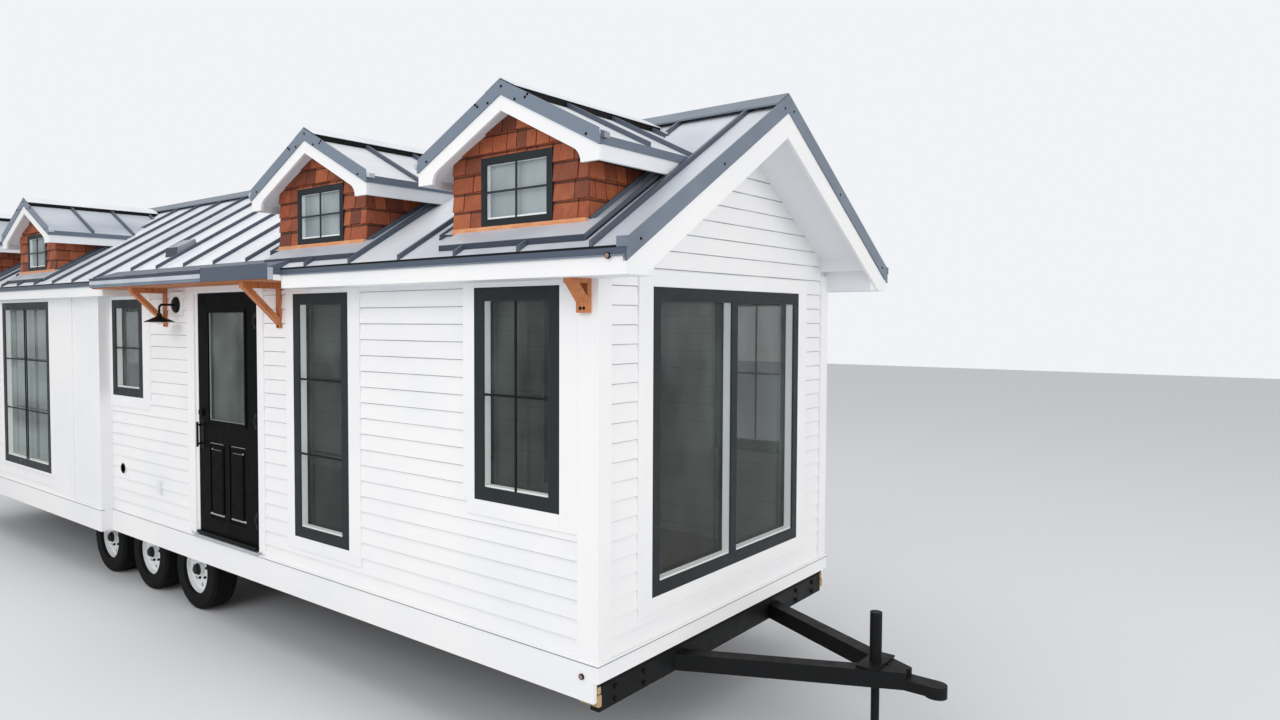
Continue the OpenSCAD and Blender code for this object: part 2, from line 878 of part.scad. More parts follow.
// Half of a dormer's rake board, with its curved tail
module rake_half() {
    difference() {
        polygon([
            [ridge_cut, dormer_at(ridge_cut) - board_up],
            [dormer_roof_half, dormer_at(dormer_roof_half) - board_up],
            [dormer_roof_half, tail_z], [tail_cx, tail_z],
            [tail_tx, tail_tz], [ridge_cut, dormer_at(ridge_cut) - board_low]
        ]);
        translate([tail_cx, tail_z]) circle(r = tail_r, $fn = 64);
    }
}

module dormer_rake_boards() {
    color("#f5f6f6")
        each_dormer()
            translate([0, dormer_face + 20, 0])
                rotate([90, 0, 0])
                    linear_extrude(20) {
                        rake_half();
                        mirror([1, 0]) rake_half();
                    }
}

module dormer_edge_metal() {
    color("#5f6a78")
        each_dormer()
            both_halves() {
                along_y(dormer_face - metal_t, dormer_face,
                    half_band(dormer_roof_half, -35, board_up));
                difference() {
                    span([dormer_roof_half + joint_gap, dormer_face - metal_t,
                            dormer_at(dormer_roof_half) - 46],
                        [dormer_roof_half + metal_t, 0, dormer_at(dormer_roof_half)]);
                    under_roof(-seat);
                }
            }
}

module dormer_window_frames() {
    color("#2b2d30")
        each_dormer()
            ring_xz([dormer_win[0] + seat, dormer_win[1] - seat,
                dormer_win[2] + seat, dormer_win[3] - seat],
                dormer_border - seat, dormer_y - frame_proud, dormer_y + 60);
}

module dormer_window_glass() {
    color("#b9c6cc", 0.4)
        each_dormer()
            pane_xz(dormer_win, dormer_border, dormer_y + 20, dormer_y + 20 + glass_t);
}

// Windows

module front_window_frames() {
    color("#222325") {
        front_frame(near_win, -hy);
        front_frame(tall_win, -hy);
        front_frame(small_win, -hy);
        front_frame(bed_win, -bay_y);
    }
}

module front_window_glass() {
    color("#b9c6cc", 0.4) {
        front_pane(near_win, -hy);
        front_pane(tall_win, -hy);
        front_pane(small_win, -hy);
        front_pane(bed_win, -bay_y);
    }
}

module end_window_frames() {
    color("#222325") {
        end_frame(end_win, hx, 1);
        end_frame(end_win, -hx, -1);
    }
}

module end_window_glass() {
    color("#b9c6cc", 0.4) {
        end_pane(end_win, hx, 1);
        end_pane(end_win, -hx, -1);
    }
}

module back_window_frames() {
    color("#222325")
        mirror([0, 1, 0])
            for (w = [near_win, tall_win, bed_win])
                front_frame(w, -hy);
}

module back_window_glass() {
    color("#b9c6cc", 0.4)
        mirror([0, 1, 0])
            for (w = [near_win, tall_win, bed_win])
                front_pane(w, -hy);
}

// Entry door

module door_jamb() {
    clear = door_w / 2 + door_gap;
    low = deck_z + 30;
    top = jamb_z - jamb_t;
    stop_y = slab_y + door_t + 5;
    leaf_y = hinge_out - seat;
    color("#f1f2f2")
        translate([door_x, 0, 0]) {
            for (s = [0, 1])
                mirror([s, 0, 0]) {
                    span([clear, -hy, low], [jamb_x, -iy, top - joint_gap]);
                    span([clear - stop_w, stop_y, low],
                        [clear - seat, -iy, top - joint_gap]);
                }
            span([-jamb_x, -hy, top], [jamb_x, -iy, jamb_z]);
            span([-clear + stop_w + seat, stop_y, top - stop_w],
                [clear - stop_w - seat, -iy, top - seat]);
            each_hinge() {
                for (z = [-60, 30]) {
                    translate([0, 0, z]) cylinder(h = 30, r = knuckle_r);
                    span([hinge_side, hinge_out - 4, z], [hinge_side + 28, leaf_y, z + 30]);
                    span([hinge_side, 0, z], [hinge_side + 9, leaf_y, z + 30]);
                }
                translate([0, 0, -60]) cylinder(h = 120, r = pin_r);
            }
        }
}

// Hinges of the door: place of the pin, beside the slab and outside the wall,
// after the width of the door stops
stop_w = 14;
hinge_off = 3.5;
hinge_out = 14;
hinge_side = door_gap - hinge_off;
knuckle_r = 8;
pin_r = 4;
hinge_zs = [slab_z + 230, slab_z + door_h / 2, slab_z + door_h - 230];

// A copy of the children at each hinge, with the door's middle at x = 0
module each_hinge() {
    for (z = hinge_zs)
        translate([door_w / 2 + hinge_off, slab_y - hinge_out, z]) children();
}

module door_hinges() {
    color("#2a2a2b")
        translate([door_x, 0, 0])
            each_hinge()
                difference() {
                    union() {
                        translate([0, 0, -29]) cylinder(h = 58, r = knuckle_r);
                        span([-62, hinge_out - 4, -29], [-hinge_off, hinge_out, 29]);
                        span([-12, 4, -29], [-hinge_off, hinge_out, 29]);
                    }
                    translate([0, 0, -30]) cylinder(h = 60, r = pin_r + run_fit);
                }
}

module door_threshold() {
    color("#b9bcbf")
        span([door_x - jamb_x, -hy - 45, deck_z], [door_x + jamb_x, -iy, deck_z + 30]);
}

panel_d = 7;
panel_w = 250;
panel_h = 640;

module door_slab() {
    color("#1b1c1e")
        translate([door_x, 0, 0])
            difference() {
                span([-door_w / 2, slab_y, slab_z],
                    [door_w / 2, slab_y + door_t, slab_z + door_h]);
                span([-light_w / 2, slab_y - 1, light_z],
                    [light_w / 2, slab_y + door_t + 1, light_z + light_h]);
                for (s = [-1, 1], face = [slab_y - 1, slab_y + door_t - panel_d])
                    translate([s * 155, 0, slab_z + 150])
                        difference() {
                            span([-panel_w / 2, face, 0],
                                [panel_w / 2, face + panel_d + 1, panel_h]);
                            span([-panel_w / 2 + 35, face - 1, 35],
                                [panel_w / 2 - 35, face + panel_d + 2, panel_h - 35]);
                        }
            }
}

module door_glass() {
    color("#aeb9bd", 0.4)
        translate([door_x, 0, 0])
            span([-light_w / 2, slab_y + 17, light_z],
                [light_w / 2, slab_y + 27, light_z + light_h]);
}

pull_x = door_x - door_w / 2 + 55;
pull_z = 1520;
pull_len = 210;

module door_handle() {
    color("#141516") {
        translate([pull_x, slab_y - 48, pull_z]) cylinder(h = pull_len, r = 10);
        for (z = [25, pull_len - 25])
            translate([pull_x, slab_y - 50, pull_z + z])
                rotate([-90, 0, 0]) cylinder(h = 50, r = 9);
        translate([pull_x, slab_y, pull_z + pull_len + 80])
            rotate([90, 0, 0]) cylinder(h = 22, r = 30);
        translate([pull_x, slab_y + door_t, pull_z + 110])
            rotate([-90, 0, 0]) cylinder(h = 42, r = 11);
        translate([pull_x, slab_y + door_t + 40, pull_z + 110])
            rotate([-90, 0, 0]) cylinder(h = 26, r = 27);
    }
}

// Canopy and fittings

plate_x = door_x + 318;
plate_top_z = canopy_top_z + 25;

// Height of the canopy's top, which runs out over the eave
function canopy_at(y) = canopy_top_z + (roof_at(canopy_back) - canopy_top_z)
    * (hy + canopy_out - y) / (hy + canopy_out - canopy_back);

module canopy_roof() {
    front = hy + canopy_out;
    edge = roof_y + joint_gap;
    color("#7d8793") {
        along_x(canopy_a, canopy_b, [
            [-edge, canopy_at(edge)], [-front, canopy_top_z],
            [-front, canopy_low_z], [-edge, canopy_low_z]
        ]);
        along_x(canopy_a, canopy_b, [
            [-canopy_back, roof_at(canopy_back) + seat],
            [-roof_y, canopy_at(roof_y)], [-roof_y, roof_at(roof_y) + seat]
        ]);
        span([canopy_a, -roof_y, canopy_low_z], [canopy_b, -eave_in, fascia_top]);
        span([plate_x, -front - 6, canopy_low_z - 10],
            [canopy_b, -front - seat, plate_top_z]);
    }
}

module canopy_soffit() {
    color("#b8743f")
        span([canopy_a, -hy - canopy_out + 15, canopy_low_z - canopy_soffit_t],
            [canopy_b, -hy, canopy_low_z]);
}

// Brackets: a board on the wall, an arm and a brace around an open triangle,
// as [board depth, arm length, arm height, brace thickness, brace foot height]
bracket_xs = [door_x - 1014, door_x + 801];
bracket_w = 60;
bracket_low = canopy_low_z - 358;
bracket_sizes = [22, 325, 50, 38, 25];
corbel_w = 78;
corbel_x = hx - 27 - corbel_w;
corbel_low = soffit_z - 182;
corbel_sizes = [34, 141, 26, 21, 55];

module bracket(x, w, y, low, top, size) {
    foot = low + size[4];
    arm_z = top - size[2];
    run = size[1] - size[0] - 12;
    rise = arm_z - foot;
    slant = sqrt(run * run + rise * rise);
    y_in = y - size[0];
    difference() {
        along_x(x, x + w, [
            [y, low], [y, top], [y - size[1], top], [y - size[1], arm_z],
            [y_in - run, arm_z], [y_in, foot], [y_in, low]
        ]);
        along_x(x - 1, x + w + 1, [
            [y_in, foot + size[3] * slant / run], [y_in, arm_z],
            [y_in - run + size[3] * slant / rise, arm_z]
        ]);
    }
}

module cedar_brackets() {
    color("#a8683a") {
        for (x = bracket_xs)
            bracket(x - bracket_w / 2, bracket_w, -hy, bracket_low,
                canopy_low_z - canopy_soffit_t, bracket_sizes);
        bracket(corbel_x, corbel_w, -hy - board_t, corbel_low, soffit_z,
            corbel_sizes);
    }
}

lamp_x = door_x - 790;
lamp_z = head_z - 60;
block_half = 105;
block_low = lamp_z - 94;
block_top = lamp_z + 111;
lamp_base_y = -hy - 25;
lamp_out = 151;
lamp_bend = 30;
shade_r = 123;
shade_z = lamp_z - 150;

module wall_lamp() {
    neck = 10;
    y1 = lamp_base_y - lamp_out;
    color("#1a1b1c") {
        translate([lamp_x, lamp_base_y, lamp_z])
            rotate([90, 0, 0])
                rotate_extrude($fn = 64)
                    polygon([[0, 0], [70, 0], [70, 7], [62, 15], [34, 21], [0, 23]]);
        translate([lamp_x, lamp_base_y, lamp_z])
            rotate([90, 0, 0]) cylinder(h = lamp_out - lamp_bend, r = neck);
        translate([lamp_x, y1 + lamp_bend, lamp_z - lamp_bend])
            rotate([90, 0, -90])
                rotate_extrude(angle = 90, $fn = 64)
                    translate([lamp_bend, 0]) circle(r = neck, $fn = 24);
        translate([lamp_x, y1, shade_z + 70])
            cylinder(h = lamp_z - lamp_bend - shade_z - 70, r = neck);
        translate([lamp_x, y1, shade_z])
            rotate_extrude($fn = 72)
                polygon([
                    [shade_r - 5, 0], [shade_r, 0], [shade_r, 5], [22, 50],
                    [20, 76], [0, 76], [0, 60], [14, 60], [16, 47],
                    [shade_r - 5, 2]
                ]);
    }
}

vent_x = bay_x + 253;
vent_z = deck_z + 423;
outlet_x = door_x - 1192;
outlet_z = deck_z + 275;

module wall_fittings() {
    color("#eceded") {
        span([lamp_x - block_half, lamp_base_y, block_low],
            [lamp_x + block_half, -hy, block_top]);
        translate([vent_x, -hy, vent_z])
            rotate([90, 0, 0])
                difference() {
                    cylinder(h = 18, r = 55);
                    translate([0, 0, 6]) cylinder(h = 13, r = 36);
                }
        span([outlet_x, -hy - 30, outlet_z], [outlet_x + 70, -hy, outlet_z + 115]);
    }
}

module roof_vent() {
    y0 = hy - 275;
    y1 = hy - 80;
    x0 = door_x - 1192;
    color("#6c737b")
        along_x(x0, x0 + 220, [
            [-y0, roof_at(y0) + seat], [-y0 - 20, roof_at(y0) + 55],
            [-y1 + 10, roof_at(y1) + 85], [-y1, roof_at(y1) + seat]
        ]);
}

// Marker lights: on the skirt near its ends, and over the lower edge of the
// eave metal
lens_r = 12;
skirt_lamp_x = hx - 78;
skirt_lamp_z = deck_z - 77;
eave_lamp_x = roof_x - 102;
eave_lamp_y = -roof_y - metal_t;
eave_lamp_z = roof_at(roof_y) - eave_metal_h;

// A small round lens on a face that looks towards -Y
module lens(x, y, z) {
    translate([x, y, z])
        rotate([90, 0, 0]) cylinder(h = 12, r = lens_r);
}

module marker_lights() {
    color("#7a3a2c") {
        lens(skirt_lamp_x, -hy - skirt_t, skirt_lamp_z);
        lens(-skirt_lamp_x, -bay_y - skirt_t, skirt_lamp_z);
        for (s = [-1, 1])
            lens(s * eave_lamp_x, eave_lamp_y, eave_lamp_z);
        mirror([0, 1, 0])
            for (s = [-1, 1]) {
                lens(s * skirt_lamp_x, -hy - skirt_t, skirt_lamp_z);
                lens(s * eave_lamp_x, eave_lamp_y, eave_lamp_z);
            }
    }
}

trailer_frame();
hitch_tongue();
tongue_jack();
suspension();
front_near_tyre();
front_near_rim();
front_mid_tyre();
front_mid_rim();
front_far_tyre();
front_far_rim();
back_near_tyre();
back_near_rim();
back_mid_tyre();
back_mid_rim();
back_far_tyre();
back_far_rim();
floor_deck();
floor_boards();
near_front_wall();
door_header_wall();
entry_side_wall();
bedroom_front_wall();
back_wall();
near_end_wall();
far_end_wall();
skirt_boards();
corner_boards();
roof_deck();
front_roof_panels();
back_roof_panels();
ridge_cap();
roof_fascia();
roof_edge_metal();
dormer_walls();
dormer_soffits();
dormer_roof_panels();
dormer_rake_boards();
dormer_edge_metal();
dormer_window_frames();
dormer_window_glass();
front_window_frames();
front_window_glass();
end_window_frames();
end_window_glass();
back_window_frames();
back_window_glass();
door_jamb();
door_threshold();
door_slab();
door_glass();
door_handle();
door_hinges();
canopy_roof();
canopy_soffit();
cedar_brackets();
wall_lamp();
wall_fittings();
roof_vent();
marker_lights();
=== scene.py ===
"""Looks of the tiny house on wheels: boards, shingles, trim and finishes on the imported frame."""

import json
import logging
import math
import random
from contextlib import contextmanager
from dataclasses import dataclass
from enum import Enum
from typing import Any, Callable, Iterable, Iterator, Sequence

import bpy
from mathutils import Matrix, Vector

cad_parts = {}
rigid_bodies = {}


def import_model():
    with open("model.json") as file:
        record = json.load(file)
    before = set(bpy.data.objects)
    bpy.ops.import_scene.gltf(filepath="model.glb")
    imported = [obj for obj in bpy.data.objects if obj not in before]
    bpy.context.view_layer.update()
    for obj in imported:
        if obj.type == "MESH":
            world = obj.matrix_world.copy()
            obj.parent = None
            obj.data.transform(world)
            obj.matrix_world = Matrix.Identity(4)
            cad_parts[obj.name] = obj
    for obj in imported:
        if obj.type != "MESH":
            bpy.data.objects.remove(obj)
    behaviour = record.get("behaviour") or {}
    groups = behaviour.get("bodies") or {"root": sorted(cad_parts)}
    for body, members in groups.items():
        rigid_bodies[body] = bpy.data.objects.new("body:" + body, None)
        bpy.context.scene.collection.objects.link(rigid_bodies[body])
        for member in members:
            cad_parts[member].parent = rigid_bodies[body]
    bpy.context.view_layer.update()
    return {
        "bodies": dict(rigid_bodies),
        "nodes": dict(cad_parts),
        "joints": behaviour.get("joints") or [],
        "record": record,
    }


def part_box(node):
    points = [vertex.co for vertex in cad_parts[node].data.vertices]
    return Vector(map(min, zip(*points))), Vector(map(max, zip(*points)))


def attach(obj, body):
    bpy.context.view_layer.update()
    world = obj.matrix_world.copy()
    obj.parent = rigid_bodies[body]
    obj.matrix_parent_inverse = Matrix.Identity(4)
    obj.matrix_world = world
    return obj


LOG = logging.getLogger("tiny_house")
SHINGLE_SEED = 7
UP = (0.0, 0.0, 1.0)
SIDES = (-1, 1)
ORIGIN = (0.0, 0.0, 0.0)
TO_ENTRY = (90, 0, 0)
TO_HITCH = (0, 90, 0)

Piece = bpy.types.Object
Material = bpy.types.Material
Socket = bpy.types.NodeSocket
Place = Sequence[float]


class Slot(Enum):
    """The record's material slots that are given with each new piece."""

    WHITE = "white_paint"
    CHASSIS = "chassis"
    TIMBER = "timber"
    SHEET = "roof_sheet"
    TRIM = "roof_trim"
    CEDAR = "cedar"
    FRAME = "window_frame"
    DOOR = "door_paint"
    BLACK = "black_metal"


class Body(Enum):
    """The bodies that new pieces ride on."""

    HOUSE = "house"
    DOOR = "entry_door"


class Keep(Enum):
    """Which side of a cutting plane stays."""

    BELOW = "below"
    ABOVE = "above"


def linear(code: str) -> tuple[float, float, float, float]:
    """Turns an sRGB hex value into a linear colour.

    Args:
        code: The colour as six hex digits after a hash.

    Returns:
        Red, green, blue and an alpha of one.
    """
    shares = [int(code[i:i + 2], 16) / 255 for i in (1, 3, 5)]
    red, green, blue = (s / 12.92 if s <= 0.04045 else ((s + 0.055) / 1.055) ** 2.4 for s in shares)
    return (red, green, blue, 1.0)


def add_node(tree: bpy.types.NodeTree, kind: str, settings: dict[int | str, Any]) -> bpy.types.Node:
    """Adds a shader node with its settings and links.

    Args:
        tree: The material's or world's node tree.
        kind: The node's type, without its common first word.
        settings: A socket to link, a hex colour or a value by the name or number of an input, or a value by
            the name of a property.

    Returns:
        The new node.
    """
    node = tree.nodes.new("ShaderNode" + kind)
    for key, value in settings.items():
        if isinstance(value, bpy.types.NodeSocket):
            tree.links.new(value, node.inputs[key])
        elif isinstance(key, int) or key in node.inputs:
            node.inputs[key].default_value = linear(value) if isinstance(value, str) else value
        else:
            setattr(node, key, value)
    return node


# Finishes


class Graph:
    """The node tree of one finish, with the patterns that feed its shader."""

    def __init__(self, finish: "Finish") -> None:
        """Starts the tree with the finish's plain look.

        Args:
            finish: The finish.
        """
        self.material = bpy.data.materials.new(finish.name)
        self.material.use_nodes = True
        self.material.diffuse_color = linear(finish.colour)
        self.tree = self.material.node_tree
        self.tree.nodes.clear()
        self.shader = add_node(self.tree, "BsdfPrincipled", {
            "Base Color": finish.colour, "Roughness": finish.roughness, "Metallic": finish.metallic,
            "Specular IOR Level": finish.specular})
        add_node(self.tree, "OutputMaterial", {"Surface": self.shader.outputs["BSDF"]})
        self.place = self.add("TexCoord", {}, "Object")

    def add(self, kind: str, settings: dict[int | str, Any], output: int | str = 0) -> Socket:
        """Adds a node and gives one of its outputs."""
        return add_node(self.tree, kind, settings).outputs[output]

    def feed(self, name: str, source: Socket) -> None:
        """Links a socket to an input of the shader."""
        self.tree.links.new(source, self.shader.inputs[name])

    def along(self, axis: str) -> Socket:
        """Gives the place along an axis, in metres."""
        return self.add("SeparateXYZ", {0: self.place}, axis)

    def noise(self, size: float, stretch: Place = (1, 1, 1), detail: float = 4.0) -> Socket:
        """Makes noise from 0 to 1 whose blobs are about one size across.

        Args:
            size: Width of a blob in metres.
            stretch: How often the noise repeats along each axis, against one.
            detail: Levels of finer noise.

        Returns:
            The noise value.
        """
        turned = self.add("Mapping", {"Scale": tuple(stretch), "Vector": self.place})
        return self.add("TexNoise", {"Scale": 1 / size, "Detail": detail, "Vector": turned}, "Fac")

    def drift(self, first: str, second: str, size: float, amount: float, low: float = 0.35,
              high: float = 0.75) -> Socket:
        """Lets one colour drift towards another in soft patches.

        Args:
            first: The colour between the patches.
            second: The colour of the patches.
            size: Width of a patch in metres.
            amount: How strong a patch gets.
            low: The noise value where a patch starts.
            high: The noise value where it is strongest.

        Returns:
            The colour.
        """
        patches = self.add("MapRange", {0: self.noise(size), 1: low, 2: high, 4: amount})
        return self.add("Mix", {"data_type": "RGBA", 0: patches, 6: first, 7: second}, 2)

    def graze(self, low: float, high: float, most: float = 1.0) -> Socket:
        """Tells the faces that are seen at a graze from those that are seen square on."""
        facing = self.add("LayerWeight", {}, "Facing")
        return self.add("MapRange", {0: facing, 1: low, 2: high, 4: most})

    def facing(self, axis: str) -> Socket:
        """Tells the faces that look along an axis, either way, from the others.

        Args:
            axis: The axis.

        Returns:
            One on such a face and zero on the others.
        """
        normal = self.add("NewGeometry", {}, "Normal")
        share = self.add("Math", {"operation": "ABSOLUTE", 0: self.add("SeparateXYZ", {0: normal}, axis)})
        return self.add("MapRange", {0: share, 1: 0.8, 2: 0.9})

    def relief(self, height: Socket, depth: float, strength: float) -> None:
        """Gives the shader a bump, from a height of 0 to 1 and a depth in metres."""
        self.feed("Normal", self.add("Bump", {"Distance": depth, "Strength": strength, "Height": height}))

    def stripe(self, value: Socket, first: float, step: float, width: float) -> Socket:
        """Marks a soft-edged line at each step along a value.

        Args:
            value: A place along one axis, in metres.
            first: Where the middle of one line lies.
            step: Distance between lines.
            width: Width of a line.

        Returns:
            One on a line and zero between.
        """
        shifted = self.add("Math", {"operation": "SUBTRACT", 0: value, 1: first})
        steps = self.add("Math", {"operation": "DIVIDE", 0: shifted, 1: step})
        wave = self.add("Math", {"operation": "PINGPONG", 0: steps, 1: 0.5})
        half = width / step / 2
        return self.add("MapRange", {0: wave, 1: half * 0.8, 2: half * 1.2, 3: 1.0, 4: 0.0})


@dataclass(frozen=True)
class Finish:
    """A finish of the house, with a plain look that its kinds refine."""

    name: str
    colour: str
    roughness: float = 0.5
    metallic: float = 0.0
    specular: float = 0.5

    def make(self) -> Material:
        """Builds the node material.

        Returns:
            The material.
        """
        graph = Graph(self)
        self.dress(graph)
        return graph.material

    def dress(self, graph: Graph) -> None:
        """Gives the shader its pattern."""
        graph.feed("Base Color", graph.drift(self.colour, self.colour, 0.6, 0.3))


@dataclass(frozen=True)
class HousePaint(Finish):
    """Satin house paint: nearly even, with faint drift and brush marks along the boards."""

    shade: str = "#E4E7EB"
    inner_boards: bool = False
    groove: str = "#8D9296"
    groove_first: float = 0.83
    groove_width: float = 0.006
    board_step: float = 0.15
    room_x: float = 4.96
    room_y: float = 1.34

    def white(self, graph: Graph, size: float) -> Socket:
        """Makes the white, which drifts in patches of a size."""
        return graph.drift(self.colour, self.shade, size, 0.5, 0.4, 0.7)

    def brush(self, graph: Graph) -> None:
        """Adds the brush marks."""
        graph.relief(graph.noise(0.012, (0.08, 1, 1), 2.0), 0.0004, 0.25)

    def dress(self, graph: Graph) -> None:
        """Adds drift in the white, brush marks, and the grooves of the boards indoors.

        Args:
            graph: The finish's node tree.
        """
        colour = self.white(graph, 0.9)
        if self.inner_boards:
            shown = graph.stripe(graph.along("Z"), self.groove_first, self.board_step, self.groove_width)
            for axis, reach in (("X", self.room_x), ("Y", self.room_y)):
                away = graph.add("Math", {"operation": "ABSOLUTE", 0: graph.along(axis)})
                inside = graph.add("Math", {"operation": "LESS_THAN", 0: away, 1: reach})
                shown = graph.add("Math", {"operation": "MULTIPLY", 0: shown, 1: inside})
            share = graph.add("Math", {"operation": "MULTIPLY", 0: shown, 1: 0.5})
            colour = graph.add("Mix", {"data_type": "RGBA", 0: share, 6: colour, 7: self.groove}, 2)
        graph.feed("Base Color", colour)
        self.brush(graph)


@dataclass(frozen=True)
class SidingPaint(HousePaint):
    """Satin house paint on lap boards, with a grey line of painted shade under each butt."""

    # The grey of the painted shade line under each butt
    line: str = "#8C9197"
    base: float = 0.74
    exposure: float = 0.1076
    line_width: float = 0.005

    def dress(self, graph: Graph) -> None:
        """Adds drift in the white, brush marks and the thin grey lines of painted shade under the butts.

        Args:
            graph: The finish's node tree.
        """
        middle = self.base - self.line_width / 2
        lines = graph.stripe(graph.along("Z"), middle, self.exposure, self.line_width)
        # Noise makes the painted shade lines fainter in places along the boards
        painted_light = graph.add("MapRange", {
            0: graph.noise(0.25, (0.4, 1, 1), 3.0), 1: 0.3, 2: 0.6, 3: 0.55, 4: 1.0})
        shown = graph.add("Math", {"operation": "MULTIPLY", 0: lines, 1: painted_light})
        white = self.white(graph, 0.7)
        graph.feed("Base Color", graph.add("Mix", {
            "data_type": "RGBA", 0: shown, 6: white, 7: self.line}, 2))
        self.brush(graph)


@dataclass(frozen=True)
class JambPaint(HousePaint):
    """White jamb paint whose parts in front of the wall, the hinge leaves, are black."""

    leaf: str = "#141516"
    wall_y: float = -1.4502

    def dress(self, graph: Graph) -> None:
        """Adds the drift in the white and the black of the hinge leaves.

        Args:
            graph: The finish's node tree.
        """
        black = graph.add("Math", {"operation": "LESS_THAN", 0: graph.along("Y"), 1: self.wall_y})
        white = self.white(graph, 0.4)
        graph.feed("Base Color", graph.add("Mix", {
            "data_type": "RGBA", 0: black, 6: white, 7: self.leaf}, 2))


@dataclass(frozen=True)
class CoatedSheet(Finish):
    """Coil-coated roof sheet: pale at a graze and grey square on as a painted reflection of the sky, with
    standing seams darkened as painted shade.
    """

    # Colours of the painted sky reflection: pale at a graze, greyer square on, each with cloudy patches
    shade: str = "#C6CBD4"
    faced: str = "#BCC2CB"
    faced_shade: str = "#98A0AD"
    # Seams painted darker than the pans: painted shade on their sides
    seam: str = "#4E5866"
    seam_first: float = 1.805
    seam_step: float = 0.49
    seam_width: float = 0.026
    seam_axis: str = "X"

    def dress(self, graph: Graph) -> None:
        """Adds a cloudy painted reflection of the sky, slight oil-canning and the painted shade of the
        seams.

        Args:
            graph: The finish's node tree.
        """
        # Cloud noise: patches of painted sky reflection on the pans, and their roughness
        clouds = graph.noise(0.45, (1.0, 0.35, 0.35), 3.0)
        cloudy = graph.add("MapRange", {0: clouds, 1: 0.42, 2: 0.72})
        faced, grazed = (graph.add("Mix", {"data_type": "RGBA", 0: cloudy, 6: first, 7: second}, 2)
                         for first, second in ((self.faced, self.faced_shade), (self.colour, self.shade)))
        # Pans turn pale at a graze: painted reflection of the sky
        pans = graph.add("Mix", {"data_type": "RGBA", 0: graph.graze(0.66, 0.8), 6: faced, 7: grazed}, 2)
        # Dark seam stripes: painted shade
        seams = graph.stripe(graph.along(self.seam_axis), self.seam_first, self.seam_step, self.seam_width)
        graph.feed("Base Color", graph.add("Mix", {
            "data_type": "RGBA", 0: seams, 6: pans, 7: self.seam}, 2))
        graph.feed("Roughness", graph.add("MapRange", {
            0: clouds, 1: 0.3, 2: 0.7, 3: self.roughness - 0.08, 4: self.roughness + 0.1}))
        graph.relief(graph.noise(0.25, (1, 0.3, 0.3), 1.0), 0.004, 0.25)


@dataclass(frozen=True)
class CoatedTrim(Finish):
    """Folded coil-coated trim: satin slate grey, with faint rub marks."""

    shade: str = "#5E6875"
    axis: str = "Z"
    # The colour of the faces along one axis: painted shade where it is darker, painted light where it is
    # lighter
    face: str | None = None

    def dress(self, graph: Graph) -> None:
        """Adds soft patches, a painted tone of light and shade on the faces along one axis, and a fine
        orange-peel grain.

        Args:
            graph: The finish's node tree.
        """
        colour = graph.drift(self.colour, self.shade, 0.3, 0.6)
        # Faces along one axis take the face colour as painted light and shade
        if self.face:
            faced = graph.facing(self.axis)
            colour = graph.add("Mix", {"data_type": "RGBA", 0: faced, 6: colour, 7: self.face}, 2)
        graph.feed("Base Color", colour)
        graph.relief(graph.noise(0.004, detail=1.0), 0.0003, 0.2)


@dataclass(frozen=True)
class Cedar(Finish):
    """Oiled cedar: warm orange-brown with dark growth lines along one axis."""

    dark: str = "#6F3A20"
    pale: str = "#CE8350"
    grain_width: float = 0.006
    along: Place = (0.06, 1, 1)
    toned: bool = False
    # Colour, rows and width of the painted shade line under the shingles' butts
    butt_line: str = "#33170C"
    butts_at: float = 0.0
    butts_step: float = 0.107
    butt_width: float = 0.011

    def dress(self, graph: Graph) -> None:
        """Adds growth lines, patches of weather, and on shingles their tones and a painted shade line under
        each butt.

        Args:
            graph: The finish's node tree.
        """
        grain = graph.noise(self.grain_width, self.along, 5.0)
        weather = graph.noise(0.12, detail=3.0)
        layers = [(graph.add("MapRange", {0: grain, 1: 0.45, 2: 0.72, 4: 0.75}), self.dark),
                  (graph.add("MapRange", {0: weather, 1: 0.5, 2: 0.75, 4: 0.5}), self.pale)]
        if self.toned:
            tone = graph.add("Attribute", {"attribute_name": "tone"}, "Fac")
            # Painted shade just under the butts of each course
            shade = graph.stripe(graph.along("Z"), self.butts_at - self.butt_width, self.butts_step,
                                 self.butt_width)
            layers += [(graph.add("MapRange", {0: tone, 1: 0.55, 2: 1.0, 4: 0.85}), self.dark),
                       (graph.add("MapRange", {0: tone, 1: 0.0, 2: 0.35, 3: 0.6, 4: 0.0}), self.pale),
                       (graph.add("Math", {"operation": "MULTIPLY", 0: shade, 1: 0.85}), self.butt_line)]
        colour = self.colour
        for share, over in layers:
            colour = graph.add("Mix", {"data_type": "RGBA", 0: share, 6: colour, 7: over}, 2)
        graph.feed("Base Color", colour)
        graph.relief(grain, 0.0012, 0.5)


@dataclass(frozen=True)
class Planks(Finish):
    """Boards of one width laid side by side, with dark joints and a grain along X."""

    joint: str = "#3A2218"
    pale: str = "#96613F"
    board: float = 0.12
    joint_width: float = 0.004

    def dress(self, graph: Graph) -> None:
        """Adds the joints between the boards and their grain.

        Args:
            graph: The finish's node tree.
        """
        grain = graph.add("MapRange", {0: graph.noise(0.02, (0.08, 1, 1)), 1: 0.35, 2: 0.7})
        wood = graph.add("Mix", {"data_type": "RGBA", 0: grain, 6: self.colour, 7: self.pale}, 2)
        joints = graph.stripe(graph.along("Y"), 0.0, self.board, self.joint_width)
        graph.feed("Base Color", graph.add("Mix", {
            "data_type": "RGBA", 0: joints, 6: wood, 7: self.joint}, 2))
        graph.relief(graph.add("Math", {"operation": "SUBTRACT", 0: 1.0, 1: joints}), 0.002, 0.6)


